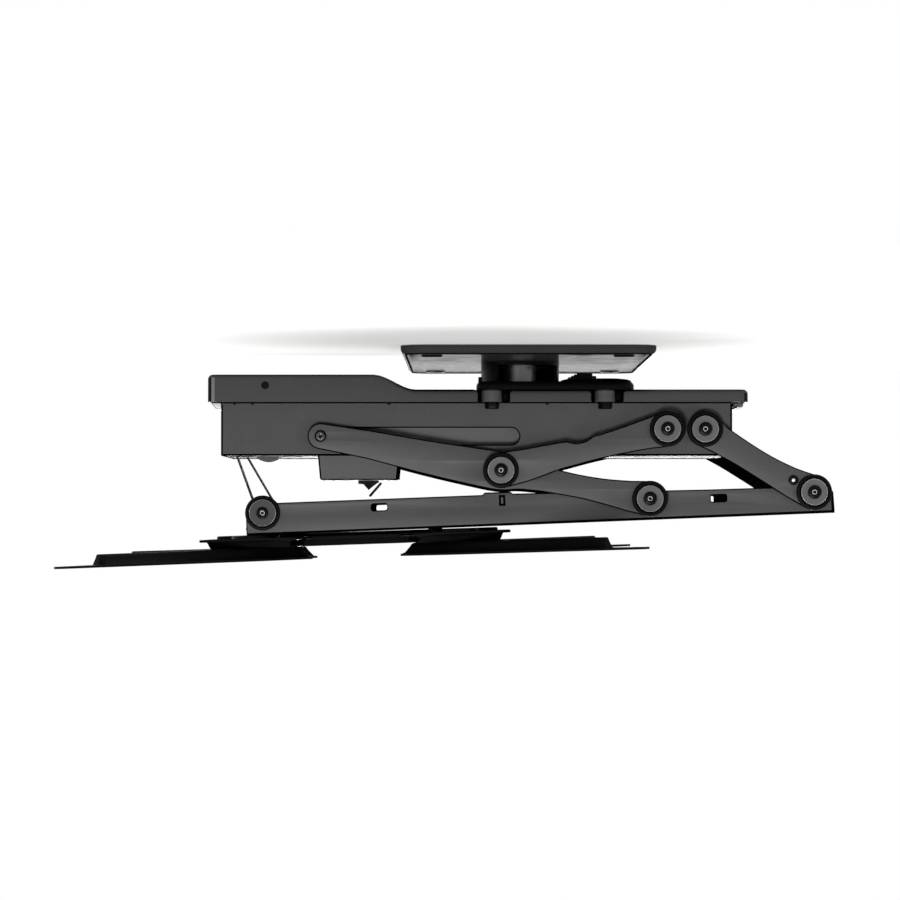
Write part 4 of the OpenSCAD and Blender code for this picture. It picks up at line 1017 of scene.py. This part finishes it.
class MOUNT_OT_arms(Step, bpy.types.Operator):
    """The arms and the frame's rails, cut from plate with softened edges"""
    bl_idname = "mount.arms"
    bl_label = "Arms and rails"

    def build(self, scene):
        for name, ends, tops, lows, start, holes, y0 in (
                ("long_arm", (P1, P3), LONG_TOP, LONG_LOW, SLIDE_END,
                 ((P1, SCREW_HOLE), (P2, PIN_HOLE), (P3, PIN_HOLE)), LAYER_1),
                ("lift_arm", (P2, P4), LIFT_TOP, LIFT_LOW, HUB, ((P2, PIN_HOLE), (P4, PIN_HOLE)), LAYER_2),
                ("link_arm", (P5, P6), LINK_TOP, LINK_LOW, HUB, ((P5, PIN_HOLE), (P6, PIN_HOLE)), LAYER_1)):
            both_sides(name, arm_loop(*ends, tops, lows, start, HUB), [circle(*at, r) for at, r in holes], y0)
        for side, end in ((-1, "near"), (1, "far")):
            self.rail(side, end)

    def rail(self, side, end):
        """An angle rail, a black strip of painted shade along its lower and right edges, and what shows in
        its small hole.
        """
        small = (-147.7, 3.3)
        holes = [rounded_box(15.5, 6.2, 2.2, (-270.9, 0.6)), rounded_box(15.2, 6.4, 1.2, (69, -1.9)),
                 circle(0, 0, PIN_HOLE), circle(ROLLER, 0, 5),
                 [(small[0] + i * 2.15, small[1] + j * 4.4) for i, j in AROUND]]
        bm = slab(self.rail_loop(), holes, side * RAIL_Y, side * RAIL_OUT, 1.15)
        foot = [(-405, -20.3), (177, -20.3), (177, -17.8), (-405, -17.8)]
        add_shape(bm, slab(foot, [], side * 66.5, side * 84.2, 0.8))
        obj = new_piece("angle_rail_" + end, bm, "powder_coat", "frame", ["rail_" + end], matrix=TO_FRAME)
        # All but the rail's outer face get painted shade
        refinish(obj, "thin_coat", lambda face: face.normal.y * side < SQUARE)
        lower = [(-404.8, -23.5), (184.7, -20.4), (184, -18.2), (-404.8, -21.6)]
        right = [(181.8, -19.5), (184.8, -19), (184, 0.5), (181.4, 4.6)]
        lip = slab(lower, [], side * 82.6, side * 84.8, 0.6)
        add_shape(lip, slab(right, [], side * 83, side * 85.7, 0.4))
        back = slab(rounded_box(5, 9.6, 0.5, small), [], side * 80.6, side * 82, 0.2)
        bar = slab(rounded_box(1.9, 6.6, 0.4, small), [], side * 81.8, side * 83.8, 0.2)
        # The black strip and the black back behind the small hole paint the shade there
        new_piece("rail_lip_" + end, lip, "thin_coat", "frame", matrix=TO_FRAME)
        new_piece("hole_back_" + end, back, "thin_coat", "frame", matrix=TO_FRAME, slot="cap_rubber")
        new_piece("hole_bar_" + end, bar, "pale_abs", "frame", matrix=TO_FRAME, slot="cap_rubber")

    def rail_loop(self):
        """The rail's outline: its lower edge, its cut right end and its upper edge with a small step."""
        loop = [(-405, -22.2), (181, -18.7), (184.2, -17.3), (183, 2), (180.5, 5.8), (177, 6.9),
                (60, 7.2), (-134, 9.7), (-137, 9.8), (-139.4, 11.7), (-165, 11.7), (-167.4, 9.4)]
        return loop + arc(-397, 0.4, 8, 90, 180, 6)


class MOUNT_OT_pivot_caps(Step, bpy.types.Operator):
    """Ring, washer and socket screw on every pivot"""
    bl_idname = "mount.pivot_caps"
    bl_label = "Pivot caps"

    def build(self, scene):
        s = scene.mount_sizes
        full = (s.ring / MM, s.washer / MM, s.head / MM)
        roller = TO_FRAME @ Vector((ROLLER, 0, 0))
        # The roller's caps hang a little below its axis
        roller_spots = [((roller.x, roller.z - 1.2), RAIL_OUT)]
        for name, body, spots, sizes, sides in (
                ("chassis_caps", "chassis", [(P4, 97.2), (P5, 91.2)], full, (-1, 1)),
                ("middle_caps", "lift_arms", [(P2, 97)], full, (-1, 1)),
                ("link_caps", "link_arms", [(P6, 91)], full, (-1, 1)),
                ("frame_caps", "frame", [(P3, 91.2)], full, (-1, 1)),
                ("roller_caps_near", "frame", roller_spots, (17.6, 13.4, 5.6), (-1,)),
                ("roller_caps_far", "frame", roller_spots, (11.6, 9, 5.4), (1,))):
            by_roller = name.startswith("roller")
            node = "frame_caps" if by_roller else name
            places = across([(p[0], y, p[1]) for p, y in spots], sides)
            r, w, h = sizes
            # The ring's groove shows as a dark line round the washer
            ring = [(7.9, 0), (r - 0.6, 0), (r, 0.6), (r, 1.8), (r - 0.5, 2.7), (r - 1.4, 3), (w + 1.6, 3),
                    (w + 0.8, 2.4), (w + 0.6, 1.4), (7.9, 1.4)]
            washer = [(5, 1.4), (w, 1.4), (w, 4.2), (w - 0.3, 4.5), (h + 0.7, 4.5), (h + 0.7, 4.0), (5, 4.0)]
            head = [(3.5, 0), (3.5, 4.0), (h, 4.0), (h, 6.2), (h - 0.5, 7.1), (h - 1.3, 7.5),
                    (4.0, 7.5, "hex"), (3.4, 7.1, "hex"), (3.4, 5.2, "hex"), (0.4, 4.8, "hex")]
            drive = [(1.7, 4.9), (2.5, 4.9), (2.5, 5.9), (2.3, 6.1), (1.9, 6.1), (1.7, 5.9)]
            fit(name + "_rings", turned(ring), places, "ring_rubber", body, [node])
            disc_finish = "moulded_abs" if by_roller else "washer_zinc"
            disc = fit(name + "_washers", turned(washer), places, disc_finish, body, [node], "cap_rubber")
            # The chamfers are bare steel
            refinish(disc, "satin_steel", lambda face: 0.2 < abs(face.normal.y) < 0.95)
            fit(name + "_heads", turned(head), places, "black_screw", body, [node])
            fit(name + "_drives", turned(drive, 24, -1), places, "satin_steel", body, [node])


class MOUNT_OT_screws(Step, bpy.types.Operator):
    """Hex bolts, pan screws and rivets"""
    bl_idname = "mount.screws"
    bl_label = "Screws and bolts"

    def build(self, scene):
        boss = [(3.9, 0.1), (9.4, 0.1), (10.2, 1.4), (10.2, 11.2), (8.9, 12.4), (3.9, 12.4)]
        bolt = [(4, 0, "hex"), (6.9, 0.05, "hex"), (7, 0.5, "hex"), (7, 5.8, "hex"), (6.6, 6.5, "hex"),
                (5.9, 7), (2.2, 7), (1.6, 6.6)]
        foot, boss_y, bolt_y = BOX["top"], 88.7, 91.4
        places = [((x, j * boss_y, foot), (0, 0, 1)) for x in HANGER_X for j in (-1, 1)]
        fit("hanger_boss_turned", turned(boss), places, "powder_coat", "chassis", ["hanger_bosses"])
        places = [((x, j * bolt_y, foot), (0, 0, -1)) for x in HANGER_X for j in (-1, 1)]
        fit("hanger_bolt_heads", turned(bolt), places, "black_screw", "chassis", ["hanger_bolts"])
        arm_out = LAYER_1 + ARM_T
        rim = [(3, 0), (5.9, 0.1), (6, 0.9), (5.6, 1.8), (4.6, 2.3), (3.2, 2.3), (3, 1.0)]
        pan = [(3, 0.9), (4.4, 1.9), (4.5, 2.4), (4.0, 2.85), (3.4, 3), (3.2, 3, "cross"),
               (3.0, 1.2, "cross"), (1.2, 1.0)]
        places = across([(P1[0], arm_out, P1[1])])
        fit("slide_screw_rims", turned(rim), places, "black_screw", "long_arms", ["slide_screws"])
        fit("slide_screw_heads", turned(pan), places, "oxide_steel", "long_arms", ["slide_screws"])
        rivet_share = 0.81
        hole = Vector(P5) + (P6 - Vector(P5)) * rivet_share
        pin = [(0.3, 0), (1.9, 0), (1.9, 1.6), (0.3, 1.9)]
        rivet = [(2.6, 0), (4.8, 0.1), (5, 0.8), (4.2, 1.7), (2.2, 2), (1.4, 1.4)]
        places = across([(hole.x, arm_out, hole.y)])
        fit("link_rivet_pins", turned(pin, 16), places, "satin_steel", "link_arms", ["link_caps"])
        fit("link_rivets", turned(rivet), places, "black_screw", "link_arms", ["link_caps"])
        small = [(3, 0), (5.4, 0.1), (5.5, 0.7), (4.4, 1.8), (3.2, 2.2), (3.0, 2.2, "cross"),
                 (2.7, 0.9, "cross"), (1, 0.6)]
        post_r, post_foot = 30, -12.5
        places = [((post_r * math.cos(a), post_r * math.sin(a), post_foot), (0, 0, -1))
                  for a in [math.pi / 4 + k * math.pi / 2 for k in range(4)]]
        fit("post_screw_heads", turned(small), places, "oxide_steel", "ceiling", ["post_screws"])
        # A washer below the plate's crown, the shank through it and a hexagon head
        knob = [(4, -4.2), (9.5, -4.2), (10, -3.7), (10, -3), (4, -3), (4, 0), (6.9, 0, "hex"),
                (7, 0.4, "hex"), (7, 3.2, "hex"), (6.5, 3.8, "hex"), (5.6, 4), (3.6, 4), (3.2, 2.4, "hex")]
        down = TO_FRAME.to_3x3() @ Vector((0, 0, -1))
        z = TV["crown"] - 0.4 - TV["sheet"]
        places = [(TO_FRAME @ Vector((TV["mid"] + i * TV["bolt"][0], j * TV["bolt"][1], z)), down)
                  for i, j in CORNERS]
        fit("bracket_bolt_heads", turned(knob), places, "black_screw", "tv_mount", ["bracket_bolts"])


class MOUNT_OT_tv_plate(Step, bpy.types.Operator):
    """Pressed television plate with lobes and arched embossings"""
    bl_idname = "mount.tv_plate"
    bl_label = "Television plate"

    def build(self, scene):
        t = TV
        floor, sheet, steps = t["crown"] - t["top"], t["sheet"], 6
        swing = [math.pi * k / steps for k in range(1, steps + 1)]
        # The upper face runs in from the rim and down to the crown, and the lower face back out
        outer = [(0.5, 0.5), (0, 0.1), (0, -1.6), (0.7, -2.2), (6.5, -2)]
        outer += [(6.5 + 5 * a / math.pi, -2 + (floor + 2) * (1 - math.cos(a)) / 2) for a in swing]
        outer += [(16, floor)]
        inner = [(16, floor + sheet), (13.3, floor + sheet)]
        inner += [(13.3 - 4.5 * a / math.pi, (floor + sheet) * (1 + math.cos(a)) / 2) for a in swing]
        inner += [(3, 0), (1.2, 0.5)]
        bm = loft([level(self.outline(i), t["top"] + z) for i, z in outer + inner], len(outer) - 1)
        spots = [(t["mid"] + i * t["bolt"][0], j * t["bolt"][1]) for i, j in CORNERS]
        rim = [(20, -8), (20, 2.3), (20.5, 3.2), (21.5, 3.5), (22.5, 3.5), (23.5, 3.2), (24, 2.3), (24, -8)]
        for number, (x, y) in enumerate(spots, 1):
            ring = turned([(r, t["top"] + z) for r, z in rim], 64, -1)
            bmesh.ops.translate(ring, vec=(x, y, 0), verts=ring.verts)
            new_piece(f"embossed_ring_{number}", ring, "black_screw", "tv_mount", ["tv_plate"], PRESSED,
                      TO_FRAME, "black_powder_coat")
        spine = [(i, t["top"] + z) for i, z in ((0, -1), (0, 2.4), (0.5, 3.3), (1.6, 3.6))]
        new_piece("stiffening_spine", loft(boxes(288, 48, 14, (t["mid"], 0), spine)), "black_enamel",
                  "tv_mount", ["tv_plate"], PRESSED, TO_FRAME)
        obj = new_piece("pressed_tv_plate", bm, "black_enamel", "tv_mount", ["tv_plate"], PRESSED, TO_FRAME)
        # The end walls are in shade: painted shade in flat black
        refinish(obj, "thin_coat", lambda face: abs(face.normal.x) > 0.5 and abs(face.normal.z) < 0.8)
        tools = []
        for x, y in spots:
            tool = turned([(4, t["top"] - 20), (4, t["top"] + 5)], 24)
            place = TO_FRAME @ Matrix.Translation((x, y, 0))
            bmesh.ops.transform(tool, matrix=place, verts=tool.verts)
            tools.append(tool)
        cut(obj, *tools)

    def outline(self, inset):
        """The plate's outline: a lobe at each corner and a waist between them."""
        t = TV
        x, y, w = t["x"] / 2 - inset, t["y"] / 2 - inset, t["waist"] / 2 - inset
        lobe = t["x"] / 2 - t["lobe"] + inset
        r, q = 16 - inset * 0.5, 10 + inset * 0.3
        corners = []
        for i, j in ((1, -1), (1, 1), (-1, 1), (-1, -1)):
            part = [(i * lobe, j * w, q), (i * lobe, j * y, r), (i * x, j * y, r)]
            corners += part if i * j < 0 else part[::-1]
        return [(px + t["mid"], py) for px, py in rounded_corners(corners, 6)]


class MOUNT_OT_brackets(Step, bpy.types.Operator):
    """Four pressed brackets that carry the television"""
    bl_idname = "mount.brackets"
    bl_label = "Brackets"

    def build(self, scene):
        b = BRACKET
        low = TV["crown"] - 0.2 - b["high"]
        for number, end, i, j in ((1, "near_left", -1, -1), (2, "near_right", 1, -1), (3, "far_left", -1, 1),
                                  (4, "far_right", 1, 1)):
            turn = Matrix.Diagonal((i, j, 1, 1)) @ Matrix.Rotation(math.radians(b["angle"]), 4, "Z")
            place = Matrix.Translation((TV["mid"] + i * TV["bolt"][0], j * TV["bolt"][1], low))
            matrix = TO_FRAME @ place @ turn
            bolt_hole = turned([(4.1, b["high"] - 6), (4.1, b["high"] + 4)], 24)
            tip_hole = turned([(b["hole"], -4), (b["hole"], 6)], 24)
            bmesh.ops.translate(tip_hole, vec=(b["length"], 0, 0), verts=tip_hole.verts)
            for hole in (bolt_hole, tip_hole):
                bmesh.ops.transform(hole, matrix=matrix, verts=hole.verts)
            obj = new_piece("pressed_bracket_" + end, self.pressing(), "black_enamel", f"bracket_{number}",
                            ["bracket_" + end, "crown_" + end], PRESSED, matrix)
            cut(obj, bolt_hole, tip_hole)

    def pressing(self):
        """One sheet: the flat foot, the walls that rise from it and the crown, above and then below."""
        b = BRACKET
        high, root, half, toe, tip = b["high"], b["root"], b["half"], b["toe"], b["length"] + b["tip"]
        foot_share = 0.873
        end = b["length"] * foot_share
        foot = [(-root, -half * 0.3, 8), (40, -half, 30), (end, -toe, 3), (tip, -b["tip"], 12.3),
                (tip, b["tip"], 12.3), (end, toe, 3), (16, half * 0.86, 30), (-root, half * 0.5, 8)]

        def crown(inset):
            # The outer end's wall stands steeper than the others
            wall = end - (2.5 + inset * 0.3)
            back = -root + inset * 0.68
            return [(back, -half * 0.3 + inset * 0.3, 6), (40, -half + inset, 26),
                    (wall - 4, -toe + inset * 0.5, 2), (wall, -toe / 2 + inset * 0.25, 2),
                    (wall, toe / 2 - inset * 0.25, 2), (wall - 4, toe - inset * 0.5, 2),
                    (16, half * 0.86 - inset, 26), (back, half * 0.5 - inset * 0.4, 6)]

        over = [(foot, 0), (foot, 2.2), (crown(5), 2.6), (crown(6.4), 3.6), (crown(13), high - 3.4),
                (crown(14.6), high - 1.2), (crown(17), high)]
        under = [(crown(17.3), high - 2), (crown(15.6), high - 3), (crown(9), 2.4), (crown(7.6), 0.4),
                 (crown(6.2), 0)]
        return loft([level(rounded_corners(corners, 6), z) for corners, z in over + under], len(over) - 1)


class MOUNT_OT_belt(Step, bpy.types.Operator):
    """Lifting belt: two legs, the turn round the roller and the layers on the spool"""
    bl_idname = "mount.belt"
    bl_label = "Belt"

    def build(self, scene):
        s = scene.mount_sizes
        wide, thick = s.belt / MM, s.belt_t / MM
        roller = TO_FRAME @ Vector((ROLLER, 0, 0))
        centre = Vector((roller.x, roller.z))
        roller_r, clear = 9.5, 0.3
        tops = [Vector((-299 + 14 * share, ANCHOR_Z)) for share in (0.07, 0.46)]
        middle = (tops[0] + tops[1]) / 2
        lean = math.atan2(middle.y - centre.y, middle.x - centre.x) - math.pi / 2
        out = roller_r + clear + thick / 2
        half_turn = [lean + math.pi + math.pi * k / 28 for k in range(29)]
        self.strap("belt_turn", [centre + heading(a) * out for a in half_turn], "belt", ["belt_loop"])
        spool, core, pitch, layers, steps = Vector((-259, -91.3)), 9.8, 0.9, 6, 36
        turns = [math.tau * k / steps for k in range(steps * layers + 1)]
        self.strap("belt_layers", [spool + heading(a) * (core + pitch * a / math.tau) for a in turns],
                   "spool", ["belt_turns"])
        for number, top, way in ((1, tops[0], -1), (2, tops[1], 1)):
            foot = centre + heading(lean) * (way * out)
            side = (top - foot).normalized()
            skin = Vector((side.y, -side.x)) * thick / 2
            rings = [[(p.x + i * skin.x, j * wide / 2, p.y + i * skin.y) for i, j in AROUND]
                     for p in (foot, top)]
            obj = new_piece(f"belt_leg_{number}", loft(rings), "belt_weave", None, ["belt_legs"])
            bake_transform(obj)

    def strap(self, name, points, body, nodes):
        s = bpy.context.scene.mount_sizes
        line = bpy.data.meshes.new(name + "_path")
        line.from_pydata([Vector((p.x, 0, p.y)) * MM for p in points],
                         [(i, i + 1) for i in range(len(points) - 1)], [])
        holder = placed(name + "_path", line)
        mesh = run_tree(holder, tree_named("Strap along a path", strap_tree), {
            "Width": s.belt, "Thickness": s.belt_t, "Finish": FINISHES["belt_weave"]})
        drop(holder)
        mesh.name = name
        settle(name, mesh, "belt_weave", body, nodes)


class MOUNT_PT_panel(bpy.types.Panel):
    """Lists the steps that dress the frame"""
    bl_label = "Ceiling mount"
    bl_idname = "MOUNT_PT_panel"
    bl_space_type = "VIEW_3D"
    bl_region_type = "UI"
    bl_category = "Ceiling mount"

    def draw(self, context):
        for step in STEPS:
            self.layout.operator(step.bl_idname)
        for group in ("mount_finishes", "mount_sizes", "mount_stage"):
            values = getattr(context.scene, group)
            for key in values.bl_rna.properties.keys():
                if key not in ("rna_type", "name"):
                    self.layout.prop(values, key)


GROUPS = {"mount_finishes": MountFinishes, "mount_sizes": MountSizes, "mount_stage": MountStage}
STEPS = [MOUNT_OT_stage, MOUNT_OT_finishes, MOUNT_OT_ceiling_plate, MOUNT_OT_turntable, MOUNT_OT_cover,
         MOUNT_OT_control_box, MOUNT_OT_arms, MOUNT_OT_pivot_caps, MOUNT_OT_screws, MOUNT_OT_tv_plate,
         MOUNT_OT_brackets, MOUNT_OT_belt]


def register():
    for name, group in GROUPS.items():
        bpy.utils.register_class(group)
        setattr(bpy.types.Scene, name, PointerProperty(type=group))
    for step in STEPS + [MOUNT_PT_panel]:
        bpy.utils.register_class(step)


def unregister():
    for step in reversed(STEPS + [MOUNT_PT_panel]):
        bpy.utils.unregister_class(step)
    for name, group in GROUPS.items():
        delattr(bpy.types.Scene, name)
        bpy.utils.unregister_class(group)


def main():
    register()
    for step in STEPS:
        group, name = step.bl_idname.split(".")
        getattr(getattr(bpy.ops, group), name)()


if __name__ == "__main__":
    main()
